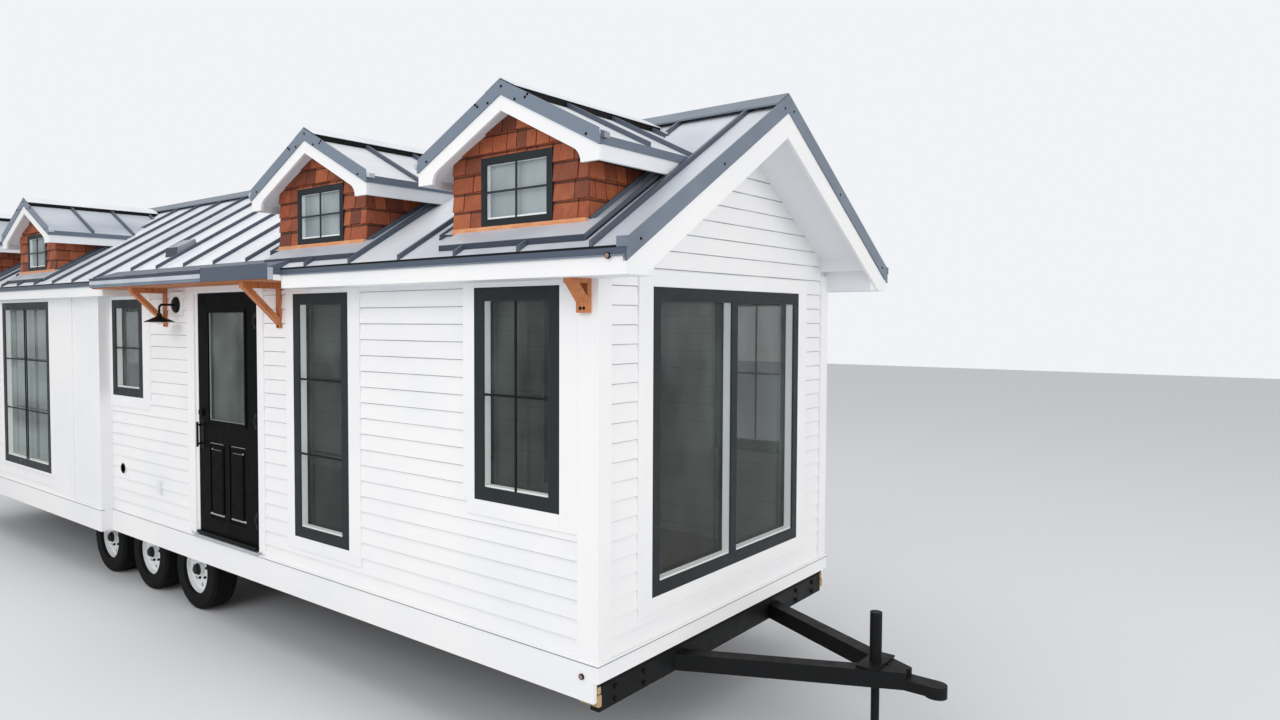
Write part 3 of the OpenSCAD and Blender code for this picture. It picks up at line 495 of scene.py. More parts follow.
@dataclass(frozen=True)
class Glass(Finish):
    """Double glazing under a bright sky: see-through, with a grey-green painted reflection of the sky on it.
    """

    # Colours of the painted sky reflection, square on and at a graze
    veil: str = "#66726F"
    opaque: float = 0.42
    low: float = 1.2
    high: float = 2.8
    grazed: str = "#93A09E"

    def dress(self, graph: Graph) -> None:
        """Lets light through, with a painted reflection of the sky that drifts and gets stronger with height
        and at a graze.

        Args:
            graph: The finish's node tree.
        """
        graze = graph.graze(0.54, 0.68, 0.9)
        graph.feed("Alpha", graph.add("Math", {"operation": "MAXIMUM", 0: graze, 1: self.opaque}))
        sky = graph.add("MapRange", {0: graph.noise(0.35, (1, 1, 0.7), 5.0), 1: 0.35, 2: 0.7})
        rise = graph.add("MapRange", {0: graph.along("Z"), 1: self.low, 2: self.high, 3: 0.25, 4: 1.0})
        bands = graph.add("MapRange", {
            0: graph.noise(0.5, (0.2, 0.2, 1.6), 2.0), 1: 0.35, 2: 0.65, 3: 0.35, 4: 1.0})
        colour = self.colour
        # Mixes in the painted sky reflection
        for first, second, over in ((sky, rise, self.veil), (graze, bands, self.grazed)):
            share = graph.add("Math", {"operation": "MULTIPLY", 0: first, 1: second})
            colour = graph.add("Mix", {"data_type": "RGBA", 0: share, 6: colour, 7: over}, 2)
        graph.feed("Base Color", colour)


@dataclass(frozen=True)
class SatinCoat(Finish):
    """Satin paint or powder coat on metal or a door: even, with a fine grain."""

    shade: str = "#000000"
    grain: float = 0.003

    def dress(self, graph: Graph) -> None:
        """Adds faint patches, uneven gloss and a fine grain.

        Args:
            graph: The finish's node tree.
        """
        graph.feed("Base Color", graph.drift(self.colour, self.shade, 0.2, 0.35))
        graph.feed("Roughness", graph.add("MapRange", {
            0: graph.noise(0.08), 1: 0.3, 2: 0.7, 3: self.roughness - 0.06, 4: self.roughness + 0.08}))
        graph.relief(graph.noise(self.grain, detail=2.0), 0.0002, 0.3)


@dataclass(frozen=True)
class TyreRubber(Finish):
    """Moulded black rubber: tread grooves around the tyre and rings on its sidewall."""

    centre: tuple[float, float, float] = ORIGIN
    tread_radius: float = 0.325
    dust: str = "#222223"
    # The darker colour in the cuts is painted shade
    cut: str = "#070707"

    def dress(self, graph: Graph) -> None:
        """Adds the tread and the rings, with painted shade in their cuts, worked out from the wheel's own
        centre.

        Args:
            graph: The finish's node tree.
        """
        rubber = graph.drift(self.colour, self.dust, 0.08, 0.5, 0.45, 0.8)
        moved = graph.add("VectorMath", {"operation": "SUBTRACT", 0: graph.place, 1: self.centre})
        x, y, z = (graph.add("SeparateXYZ", {0: moved}, axis) for axis in "XYZ")
        squares = [graph.add("Math", {"operation": "POWER", 0: value, 1: 2.0}) for value in (x, z)]
        radius = graph.add("Math", {
            "operation": "SQRT", 0: graph.add("Math", {"operation": "ADD", 0: squares[0], 1: squares[1]})})
        across = graph.add("Math", {"operation": "ABSOLUTE", 0: y})
        angle = graph.add("Math", {"operation": "ARCTAN2", 0: z, 1: x})
        sipes = graph.add("Math", {
            "operation": "MULTIPLY", 0: graph.stripe(angle, 0.0, math.tau / 72, 0.012), 1: 0.6})
        tread = graph.add("Math", {
            "operation": "MAXIMUM", 0: graph.stripe(across, 0.02, 0.045, 0.012), 1: sipes})
        on_tread = graph.add("MapRange", {0: radius, 1: self.tread_radius, 2: self.tread_radius + 0.01})
        beside = graph.add("Math", {"operation": "SUBTRACT", 0: 1.0, 1: on_tread})
        rings = graph.stripe(radius, 0.24, 0.034, 0.004)
        both = [graph.add("Math", {"operation": "MULTIPLY", 0: cut, 1: where})
                for cut, where in ((tread, on_tread), (rings, beside))]
        cuts = graph.add("Math", {"operation": "MAXIMUM", 0: both[0], 1: both[1]})
        share = graph.add("Math", {"operation": "MULTIPLY", 0: cuts, 1: 0.7})
        graph.feed("Base Color", graph.add("Mix", {
            "data_type": "RGBA", 0: share, 6: rubber, 7: self.cut}, 2))
        graph.relief(graph.add("Math", {"operation": "SUBTRACT", 0: 1.0, 1: cuts}), 0.006, 0.7)


class Palette:
    """All finishes of the house, each made once."""

    def __init__(self) -> None:
        """Makes the materials."""
        # Brushed satin paint over boards: a near white that stays even in soft light
        self.white = HousePaint("white_satin_paint", "#F3F2F2", 0.45).make()
        # The same paint on the walls, where tongued boards line the rooms
        self.wall = HousePaint("white_wall_paint", "#F3F2F2", 0.45, inner_boards=True).make()
        # The same paint on lap boards, with painted shade lines under the butts; the bay's boards start a
        # little lower
        self.siding = SidingPaint("white_siding_paint", "#F3F2F2", 0.45).make()
        self.bay_siding = SidingPaint("white_bay_siding_paint", "#F3F2F2", 0.45, base=0.7044).make()
        self.jamb = JambPaint("white_jamb_paint", "#EEEEEE", 0.45).make()
        # Inside the window frames the white reveals read a little green through the glass
        self.reveal = HousePaint("white_window_reveal", "#F4F8F6", 0.5, shade="#D6E0DC").make()
        # Under the eaves the same paint, made a little darker and cooler: painted shade
        self.soffit = HousePaint("white_soffit_paint", "#ECEEF1", 0.5, shade="#DDE1E6").make()
        # Coil-coated steel pans: pale grey with a cloudy painted reflection of the sky, and seams every 490
        # mm darkened to slate as painted shade
        self.sheet = CoatedSheet("coated_roof_pans", "#E6E9EE", 0.36).make()
        self.dormer_sheet = CoatedSheet("coated_dormer_pans", "#E4E7EC", 0.36, seam_first=-1.61,
                                        seam_step=0.44, seam_axis="Y").make()
        # The same sheet without seams, on flashings
        self.plain_sheet = CoatedTrim("coated_flashing", "#C2C8D1", 0.36, shade="#A0A8B4").make()
        # Folded slate trim: satin blue-grey, with painted shade darkening the faces that look out over the
        # eaves
        self.trim = CoatedTrim("slate_coated_trim", "#76818F", 0.42, specular=0.3).make()
        self.edge = CoatedTrim("slate_roof_edge", "#76818F", 0.42, specular=0.3, axis="Y",
                               face="#4E5867").make()
        # Dormer edge metal: its faces along Y lighter as painted light
        self.dormer_edge = CoatedTrim("slate_dormer_edge", "#6B7584", 0.42, specular=0.3, axis="Y",
                                      face="#76818F").make()
        # Canopy metal: a darker copy of the slate trim as painted shade, darker still on its faces along Y
        self.canopy = CoatedTrim("slate_canopy_metal_in_shade", "#5C6675", 0.42, specular=0.3, axis="Y",
                                 face="#4C5665").make()
        # Vent hood: light grey on top, its faces along Y darkened as painted shade
        self.vent = CoatedTrim("slate_vent_hood", "#A7ADB7", 0.42, specular=0.3, axis="Y",
                               face="#3C434C").make()
        self.dark_trim = CoatedTrim("slate_trim_in_shade", "#48515D", 0.45, specular=0.2,
                                    shade="#39414B").make()
        # Flashing ribs and upstands: a darker copy of the slate trim as painted shade, darker still on faces
        # along Y
        self.flashing_rib = CoatedTrim("slate_flashing_rib", "#5F6977", 0.45, specular=0.2, axis="Y",
                                       face="#3C4450").make()
        # Oiled cedar, with its grain along the board
        self.cedar = Cedar("oiled_cedar_boards", "#C67C48", 0.55).make()
        self.cedar_post = Cedar("oiled_cedar_posts", "#C47945", 0.55, along=(1, 1, 0.06)).make()
        # Shingles: random tones, with a painted shade line under each course's butts
        self.shingle = Cedar("cedar_shingles", "#A5532F", 0.62, dark="#5E2D1B", pale="#BE6E42",
                             grain_width=0.005, along=(1, 1, 0.05), toned=True, butts_at=3.132).make()
        # The dormer walls behind the shingles, near black: painted shade in the gap between shingles
        self.gap_shade = SatinCoat("dark_sheathing_gap_shade", "#26140E", 0.8, shade="#180C08", specular=0.1).make()
        self.fresh_cedar = Cedar("fresh_cedar_strip", "#DE9A6C", 0.55, dark="#B5683C", pale="#F0B98E").make()
        # Powder coat on window frames: charcoal with a slight green
        self.charcoal = SatinCoat("charcoal_powder_coat", "#252B2F", 0.45, shade="#1B2023",
                                  specular=0.2).make()
        self.bead = SatinCoat("charcoal_sash_bead", "#34393C", 0.42, shade="#282D30", specular=0.2).make()
        self.bar = SatinCoat("black_window_bar", "#16191A", 0.5, shade="#101213", specular=0.15).make()
        # Double glazing: clear glass with a painted reflection of a pale sky, paler on the dormers
        self.glass = Glass("window_glass", "#2A302E", 0.03).make()
        self.door_glass = Glass("door_light_glass", "#3A4340", 0.05, veil="#7C8884", opaque=0.6).make()
        self.dormer_glass = Glass("dormer_window_glass", "#8F9BA1", 0.03, veil="#B4BFC3", opaque=0.8,
                                  low=2.0).make()
        # Satin black door paint and powder-coated hardware
        self.door = SatinCoat("black_door_paint", "#0A0B0C", 0.5, shade="#060708", specular=0.05).make()
        # Light grey on the black door's panel edges: painted highlight
        self.door_edge_highlight = SatinCoat("painted_light_black_door_edge", "#9EA1A4", 0.5, shade="#8A8D90",
                                     specular=0.3).make()
        self.black = SatinCoat("black_powder_coat", "#101112", 0.5, shade="#08090A", specular=0.15).make()
        # Brushed mill aluminium: bright, with fine streaks
        self.aluminium = SatinCoat("mill_aluminium", "#C9CCCF", 0.35, 0.9, shade="#A4A8AC").make()
        # Moulded lens plastic: dark red-amber, lightened to a pinkish grey as a painted glint
        self.lens = SatinCoat("red_lens_plastic", "#A08078", 0.2, shade="#6E4A42").make()
        self.steel_paint = SatinCoat("black_chassis_paint", "#141516", 0.5, shade="#0B0C0D",
                                     specular=0.15).make()
        # Black sheeting that wraps the edge and underside of the floor
        self.underbelly = SatinCoat("black_underbelly_sheet", "#161718", 0.6, shade="#0D0E0E",
                                    specular=0.1).make()
        self.wheel = SatinCoat("white_wheel_enamel", "#ECEEEF", 0.3, shade="#D9DCDE").make()
        # Dark hub paint, also on the vent's louvres, where it is painted shade
        self.hub = SatinCoat("dark_hub_paint_and_vent_shade", "#262422", 0.5, shade="#121110", specular=0.2).make()
        # Raw blocking: straw-coloured wood with long grain
        self.timber = Cedar("raw_spruce_timber", "#BFA179", 0.7, dark="#8D7048", pale="#D9C19B").make()
        self.floor = Planks("red_brown_floor_boards", "#6E3F2C", 0.38).make()
        # Pale hem and cap metal: the roof sheet's pale colour without its seams, a painted reflection of the
        # sky
        self.white_metal = CoatedTrim("pale_coated_metal", "#E4E7EC", 0.38, shade="#CBD0D8").make()
        self.grille = HousePaint("white_vent_plastic", "#E9EBEC", 0.4, shade="#D5D8DA").make()
        # A grey strip of painted shadow under the skirt's ledge
        self.drip_shadow_line = HousePaint("grey_painted_shadow", "#7E8388", 0.7, shade="#6C7176").make()
        self.grey_plastic = HousePaint("grey_outlet_plastic", "#8F9497", 0.45, shade="#7C8184").make()

    def tyre(self, centre: tuple[float, float, float]) -> Material:
        """Makes the rubber of the tyre around a centre."""
        return TyreRubber("black_tyre_rubber", "#131415", 0.8, specular=0.15, centre=centre).make()

    def dress_frame(self, nodes: dict) -> None:
        """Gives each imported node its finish.

        Args:
            nodes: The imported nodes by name.
        """
        groups = {
            self.steel_paint: ("trailer_frame", "hitch_tongue", "tongue_jack", "suspension"),
            self.underbelly: ("floor_deck",), self.floor: ("floor_boards",),
            self.wall: ("near_front_wall", "door_header_wall", "entry_side_wall", "bedroom_front_wall",
                        "back_wall", "near_end_wall", "far_end_wall"),
            self.white: ("skirt_boards", "corner_boards", "roof_fascia", "dormer_rake_boards"),
            self.jamb: ("door_jamb",),
            self.soffit: ("roof_deck", "dormer_soffits"),
            self.sheet: ("front_roof_panels", "back_roof_panels"),
            self.dormer_sheet: ("dormer_roof_panels",),
            self.trim: ("ridge_cap",), self.edge: ("roof_edge_metal",),
            self.dormer_edge: ("dormer_edge_metal",),
            self.canopy: ("canopy_roof",), self.vent: ("roof_vent",),
            self.gap_shade: ("dormer_walls",), self.cedar: ("canopy_soffit",),
            self.cedar_post: ("cedar_brackets",),
            self.charcoal: ("dormer_window_frames", "front_window_frames", "end_window_frames",
                            "back_window_frames"),
            self.glass: ("front_window_glass", "end_window_glass", "back_window_glass"),
            self.door_glass: ("door_glass",),
            self.dormer_glass: ("dormer_window_glass",),
            self.aluminium: ("door_threshold",), self.door: ("door_slab",),
            self.black: ("door_handle", "door_hinges", "wall_lamp"),
            self.grille: ("wall_fittings",), self.lens: ("marker_lights",),
        }
        finishes = {name: material for material, names in groups.items() for name in names}
        for name, piece in nodes.items():
            if name.endswith("_tyre"):
                low, high = (Vector(corner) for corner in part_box(name))
                material = self.tyre(tuple((low + high) / 2))
            else:
                material = self.wheel if name.endswith("_rim") else finishes[name]
            piece.data.materials.clear()
            piece.data.materials.append(material)


# The bench


@dataclass(frozen=True)
class Panel:
    """A rectangle on a wall, in metres along it and up."""

    left: float
    right: float
    low: float
    high: float

    def grown(self, by: float) -> "Panel":
        """The rectangle with each side moved out, or in where it is below zero."""
        return Panel(self.left - by, self.right + by, self.low - by, self.high + by)

    def mirrored(self) -> "Panel":
        """The same rectangle on the other side of the wall's middle."""
        return Panel(-self.right, -self.left, self.low, self.high)

    def ring(self, width: float, foot: float) -> list["Panel"]:
        """Divides a border along the inside of the edges into four strips.

        Args:
            width: Width of the sides and the head.
            foot: Height of the foot.

        Returns:
            The left side, the right side, the foot and the head.
        """
        left, right, head = self.left + width, self.right - width, self.high - width
        return [Panel(self.left, left, self.low, self.high), Panel(right, self.right, self.low, self.high),
                Panel(left, right, self.low, self.low + foot), Panel(left, right, head, self.high)]


class Bench:
    """The tools that start, shape and finish new pieces."""

    @staticmethod
    def clear() -> None:
        """Leaves edit mode and deselects everything."""
        if bpy.context.object and bpy.context.object.mode != "OBJECT":
            bpy.ops.object.mode_set(mode="OBJECT")
        bpy.ops.object.select_all(action="DESELECT")

    @staticmethod
    def pick(piece: Piece) -> None:
        """Selects one piece alone and makes it active.

        Args:
            piece: The piece.
        """
        Bench.clear()
        piece.select_set(True)
        bpy.context.view_layer.objects.active = piece

    @staticmethod
    @contextmanager
    def editing(piece: Piece) -> Iterator[None]:
        """Opens a piece in edit mode with all of it selected, and closes it again.

        Args:
            piece: The piece.

        Yields:
            Nothing, while edit mode is open.
        """
        Bench.pick(piece)
        bpy.ops.object.mode_set(mode="EDIT")
        bpy.ops.mesh.select_all(action="SELECT")
        yield
        bpy.ops.object.mode_set(mode="OBJECT")

    @staticmethod
    def settle(piece: Piece) -> Piece:
        """Moves a piece's place, turn and scale into its mesh.

        Args:
            piece: The piece.

        Returns:
            The piece.
        """
        Bench.pick(piece)
        bpy.ops.object.transform_apply(location=True, rotation=True, scale=True)
        return piece

    @staticmethod
    def outwards() -> None:
        """Turns all normals of the piece in edit mode outwards."""
        bpy.ops.mesh.select_all(action="SELECT")
        bpy.ops.mesh.normals_make_consistent(inside=False)

    @staticmethod
    def block(low: Place, high: Place, edge: float = 0.0) -> Piece:
        """Adds a board between two corners, with its edges eased.

        Args:
            low: The lowest corner.
            high: The highest corner.
            edge: Width of the eased edges, or 0 for sharp ones.

        Returns:
            The board.
        """
        Bench.clear()
        middle = [(a + b) / 2 for a, b in zip(low, high)]
        size = [b - a for a, b in zip(low, high)]
        bpy.ops.mesh.primitive_cube_add(size=1, location=middle, scale=size)
        piece = Bench.settle(bpy.context.object)
        if edge:
            with Bench.editing(piece):
                bpy.ops.mesh.bevel(offset=edge, segments=1, affect="EDGES")
        return piece

    @staticmethod
    def boards(front: float, back: float, edge: float, panels: Iterable[Panel]) -> list[Piece]:
        """Adds a board with eased edges for each rectangle, between two planes across Y."""
        return [Bench.block((panel.left, front, panel.low), (panel.right, back, panel.high), edge)
                for panel in panels]

    @staticmethod
    def push(piece: Piece, test: Callable[[Vector], bool], step: Place) -> None:
        """Moves the corners of a piece that pass a test.

        Args:
            piece: The piece.
            test: Says of a corner's place whether it moves.
            step: How far it moves along each axis.
        """
        Bench.pick(piece)
        mesh = piece.data
        for part in (mesh.polygons, mesh.edges):
            part.foreach_set("select", [False] * len(part))
        mesh.vertices.foreach_set("select", [test(corner.co) for corner in mesh.vertices])
        bpy.ops.object.mode_set(mode="EDIT")
        bpy.ops.mesh.select_mode(type="VERT")
        bpy.ops.transform.translate(value=step)
        bpy.ops.object.mode_set(mode="OBJECT")

    @staticmethod
    def prism(outline: Sequence[tuple[float, float]], axis: str, start: float, stop: float,
              edge: float = 0.0) -> Piece:
        """Extrudes an outline along an axis.

        Args:
            outline: Corners in the two axes across, in the order of X, Y and Z.
            axis: The axis that it is extruded along.
            start: Where it starts on that axis.
            stop: Where it ends.
            edge: Width of the eased edges, or 0 for sharp ones.

        Returns:
            The solid.
        """
        Bench.clear()
        bpy.ops.mesh.primitive_circle_add(vertices=len(outline), fill_type="NGON", location=ORIGIN)
        piece = bpy.context.object
        number = "XYZ".index(axis)
        for corner, across in zip(piece.data.vertices, outline):
            spot = list(across)
            spot.insert(number, start)
            corner.co = spot
        way = [0, 0, 0]
        way[number] = stop - start
        with Bench.editing(piece):
            bpy.ops.mesh.extrude_region_move(TRANSFORM_OT_translate={"value": way})
            Bench.outwards()
            if edge:
                bpy.ops.mesh.bevel(offset=edge, segments=1, affect="EDGES")
        return piece

    @staticmethod
    def turned(stations: Sequence[tuple[float, float]], sides: int, place: Place = ORIGIN,
               tilt: Place = ORIGIN) -> Piece:
        """Makes a round piece from a disc that is extruded and resized station by station.

        Args:
            stations: Radius and height of each ring, upwards.
            sides: Number of sides.
            place: Where the foot of its axis goes.
            tilt: Turn about X, Y and Z, in degrees, of its upright axis.

        Returns:
            The piece.
        """
        Bench.clear()
        radius, height = stations[0]
        bpy.ops.mesh.primitive_circle_add(vertices=sides, radius=radius, fill_type="NGON",
                                          location=(0, 0, height))
        piece = Bench.settle(bpy.context.object)
        with Bench.editing(piece):
            for next_radius, next_height in stations[1:]:
                share, rise = next_radius / radius, next_height - height
                bpy.ops.mesh.extrude_region_move(TRANSFORM_OT_translate={"value": (0, 0, rise)})
                bpy.ops.transform.resize(value=(share, share, 1), center_override=(0, 0, next_height))
                radius, height = next_radius, next_height
            Bench.outwards()
        piece.rotation_euler = [math.radians(angle) for angle in tilt]
        piece.location = place
        return Bench.settle(piece)

    @staticmethod
    def row(piece: Piece, count: int, step: Place) -> None:
        """Repeats a piece along a step, with the whole row in its mesh.

        Args:
            piece: The first of the row.
            count: How many there are.
            step: From one to the next.
        """
        Bench.pick(piece)
        array = piece.modifiers.new("row", "ARRAY")
        array.count = count
        array.use_relative_offset = False
        array.use_constant_offset = True
        array.constant_offset_displace = step
        bpy.ops.object.modifier_apply(modifier=array.name)

    @staticmethod
    def cut(piece: Piece, point: Place, normal: Place, keep: Keep = Keep.BELOW) -> None:
        """Cuts a piece with a plane, closes the cut and clears one side.

        Args:
            piece: The piece.
            point: A point on the plane.
            normal: The plane's normal.
            keep: The side that stays, seen along the normal.
        """
        with Bench.editing(piece):
            bpy.ops.mesh.bisect(plane_co=point, plane_no=normal, use_fill=True,
                                clear_outer=keep is Keep.BELOW, clear_inner=keep is Keep.ABOVE)

    @staticmethod
    def copy(piece: Piece, shift: Place = ORIGIN) -> Piece:
        """Copies a piece with its own mesh.

        Args:
            piece: The piece.
            shift: How far the copy is moved along each axis.

        Returns:
            The copy.
        """
        twin = piece.copy()
        twin.data = piece.data.copy()
        bpy.context.collection.objects.link(twin)
        for corner in twin.data.vertices:
            corner.co += Vector(shift)
        return twin

    @staticmethod
    def join(parts: Piece | Iterable[Piece]) -> Piece:
        """Joins pieces into the first of them.

        Args:
            parts: One piece or several.

        Returns:
            The joined piece.
        """
        parts = [parts] if isinstance(parts, Piece) else list(parts)
        Bench.clear()
        for part in parts:
            part.select_set(True)
        bpy.context.view_layer.objects.active = parts[0]
        if len(parts) > 1:
            bpy.ops.object.join()
        return parts[0]

    @staticmethod
    def slide(piece: Piece, axis: int, by: float) -> Piece:
        """Moves a piece's corners along an axis, 0 for X and 1 for Y.

        Args:
            piece: The piece.
            axis: The axis.
            by: How far.

        Returns:
            The piece.
        """
        for corner in piece.data.vertices:
            corner.co[axis] += by
        return piece

    @staticmethod
    def at_each(piece: Piece, shifts: Iterable[Place]) -> Piece:
        """Copies a piece to each shift and joins the copies, without the first.

        Args:
            piece: The piece, which is removed.
            shifts: How far each copy is moved along each axis.

        Returns:
            The joined copies.
        """
        twins = [Bench.copy(piece, shift) for shift in shifts]
        bpy.data.objects.remove(piece)
        return Bench.join(twins)

    @staticmethod
    def mirrored(piece: Piece, axis: int) -> Piece:
        """Copies a piece to the other side of the house's middle, with its faces outwards.

        Args:
            piece: The piece.
            axis: 0 for a mirror image along X, 1 along Y.

        Returns:
            The mirror image.
        """
        twin = Bench.copy(piece)
        for corner in twin.data.vertices:
            corner.co[axis] = -corner.co[axis]
        with Bench.editing(twin):
            bpy.ops.mesh.flip_normals()
        return twin

    @staticmethod
    def finish(parts: Piece | Iterable[Piece], name: str, material: Material, slot: Slot,
               body: str = Body.HOUSE.value, smooth: bool = False) -> None:
        """Joins, names, paints and seats a finished piece.

        Args:
            parts: The piece or its parts, with their places in their meshes.
            name: Its name.
            material: Its finish.
            slot: The record's slot of that finish; not used.
            body: The body that it rides on.
            smooth: Whether its round faces are shaded smooth.
        """
        piece = Bench.join(parts)
        piece.name = name
        piece.data.name = name
        piece.data.materials.clear()
        piece.data.materials.append(material)
        if smooth:
            Bench.pick(piece)
            bpy.ops.object.shade_smooth_by_angle(angle=math.radians(40))
        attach(piece, body)
        LOG.info("%s: %d faces on %s", name, len(piece.data.polygons), body)


# Places of the house


@dataclass(frozen=True)
class Windows:
    """The window openings, in metres along their walls and up."""

    near: Panel = Panel(4.164, 4.825, 1.520, 2.784)
    tall: Panel = Panel(2.262, 2.922, 0.985, 2.784)
    small: Panel = Panel(-0.834, -0.195, 1.866, 2.784)
    bed: Panel = Panel(-3.525, -2.135, 0.950, 2.784)
    end: Panel = Panel(-0.95, 0.95, 0.985, 2.784)


@dataclass(frozen=True)
class Wall:
    """A flat wall: its outer face's distance from the middle, and its turn from the entry side."""

    name: str
    face: float
    turn: float

    def boards(self, panels: Iterable[Panel], inner: float, outer: float,
               edge: float = 0.002) -> list[Piece]:
        """Makes boards on the wall, still turned to the entry side, between two distances off its face."""
        return Bench.boards(-self.face - outer, -self.face - inner, edge, panels)

    def seat(self, parts: Iterable[Piece], name: str, material: Material, slot: Slot) -> None:
        """Joins pieces, turns them from the entry side to this wall and finishes them.

        Args:
            parts: The pieces.
            name: The name of the joined piece.
            material: Its finish.
            slot: The record's slot of that finish.
        """
        piece = Bench.join(parts)
        piece.rotation_euler = (0, 0, math.radians(self.turn))
        Bench.finish(Bench.settle(piece), name, material, slot)


@dataclass(frozen=True)
class Shell:
    """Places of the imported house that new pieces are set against, in metres."""

    entry: float
    bay: float
    bay_end: float
    end: float
    deck: float
    soffit: float
    eave: float
    roof_end: float
    ridge: float
    pitch: float = 0.5833
    canopy_front: float = 1.83
    canopy_soffit: float = 2.877
    canopy_left: float = -0.43
    canopy_right: float = 2.504
    windows: Windows = Windows()

    @classmethod
    def read(cls) -> "Shell":
        """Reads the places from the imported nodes.

        Returns:
            The shell.
        """
        entry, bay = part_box("entry_side_wall"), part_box("bedroom_front_wall")
        panels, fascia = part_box("front_roof_panels"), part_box("roof_fascia")
        cap_rise = 0.042
        return cls(entry=-entry[0][1], bay=-bay[0][1], bay_end=bay[1][0],
                   end=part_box("near_front_wall")[1][0], deck=entry[0][2], soffit=fascia[0][2],
                   eave=-panels[0][1], roof_end=panels[1][0], ridge=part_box("ridge_cap")[1][2] - cap_rise)

    def roof(self, y: float) -> float:
        """Height of the main roof's sheet at y."""
        return self.ridge - self.pitch * abs(y)

    def wall(self, name: str) -> Wall:
        """Finds a wall that carries boards.

        Args:
            name: Its name.

        Returns:
            The wall.
        """
        places = {"entry": (self.entry, 0), "bay": (self.bay, 0), "near_end": (self.end, 90),
                  "back": (self.entry, 180), "far_end": (self.end, -90)}
        return Wall(name, *places[name])


@dataclass
class Assembly:
    """A sub-assembly of new pieces, set against the shell and painted from the palette."""

    shell: Shell
    palette: Palette


# Cladding


@dataclass
class LapSiding:
    """Lap boards on a wall, in fields between the openings."""

    shell: Shell
    paint: Material
    exposure: float = 0.1076
    butt: float = 0.012
    top: float = 0.002
    under_rafters: float = 0.122

    def field(self, wall: Wall, panel: Panel, base: float) -> Piece:
        """Boards one rectangle of a wall.

        Args:
            wall: The wall.
            panel: The rectangle.
            base: Height of the butt of one of the boards.

        Returns:
            The boards.
        """
        first = base + math.floor((panel.low - base) / self.exposure + 1e-6) * self.exposure
        count = math.ceil((panel.high - first) / self.exposure - 1e-6)
        board = Bench.block((panel.left, -wall.face - self.butt, first),
                            (panel.right, -wall.face + 0.001, first + self.exposure))
        middle = first + self.exposure / 2
        Bench.push(board, lambda co: co.z > middle and co.y < -wall.face, (0, self.butt - self.top, 0))
        Bench.row(board, count, (0, 0, self.exposure))
        if first < panel.low - 1e-4:
            Bench.cut(board, (0, 0, panel.low), UP, Keep.ABOVE)
        if first + count * self.exposure > panel.high + 1e-4:
            Bench.cut(board, (0, 0, panel.high), UP)
        return board

    def build(self, wall: Wall, panels: Sequence[Panel], base: float, gable: Panel | None = None) -> None:
        """Boards a wall.

        Args:
            wall: The wall.
            panels: Its rectangles.
            base: Height of the lowest board's butt.
            gable: The rectangle around the boards under the roof, on an end wall.
        """
        fields = [self.field(wall, panel, base) for panel in panels]
        if gable:
            fields.append(self.field(wall, gable, base))
            for side in SIDES:
                peak = (0, 0, self.shell.ridge - self.under_rafters)
                Bench.cut(fields[-1], peak, (side * self.shell.pitch, 0, 1))
        wall.seat(fields, wall.name + "_siding", self.paint, Slot.WHITE)


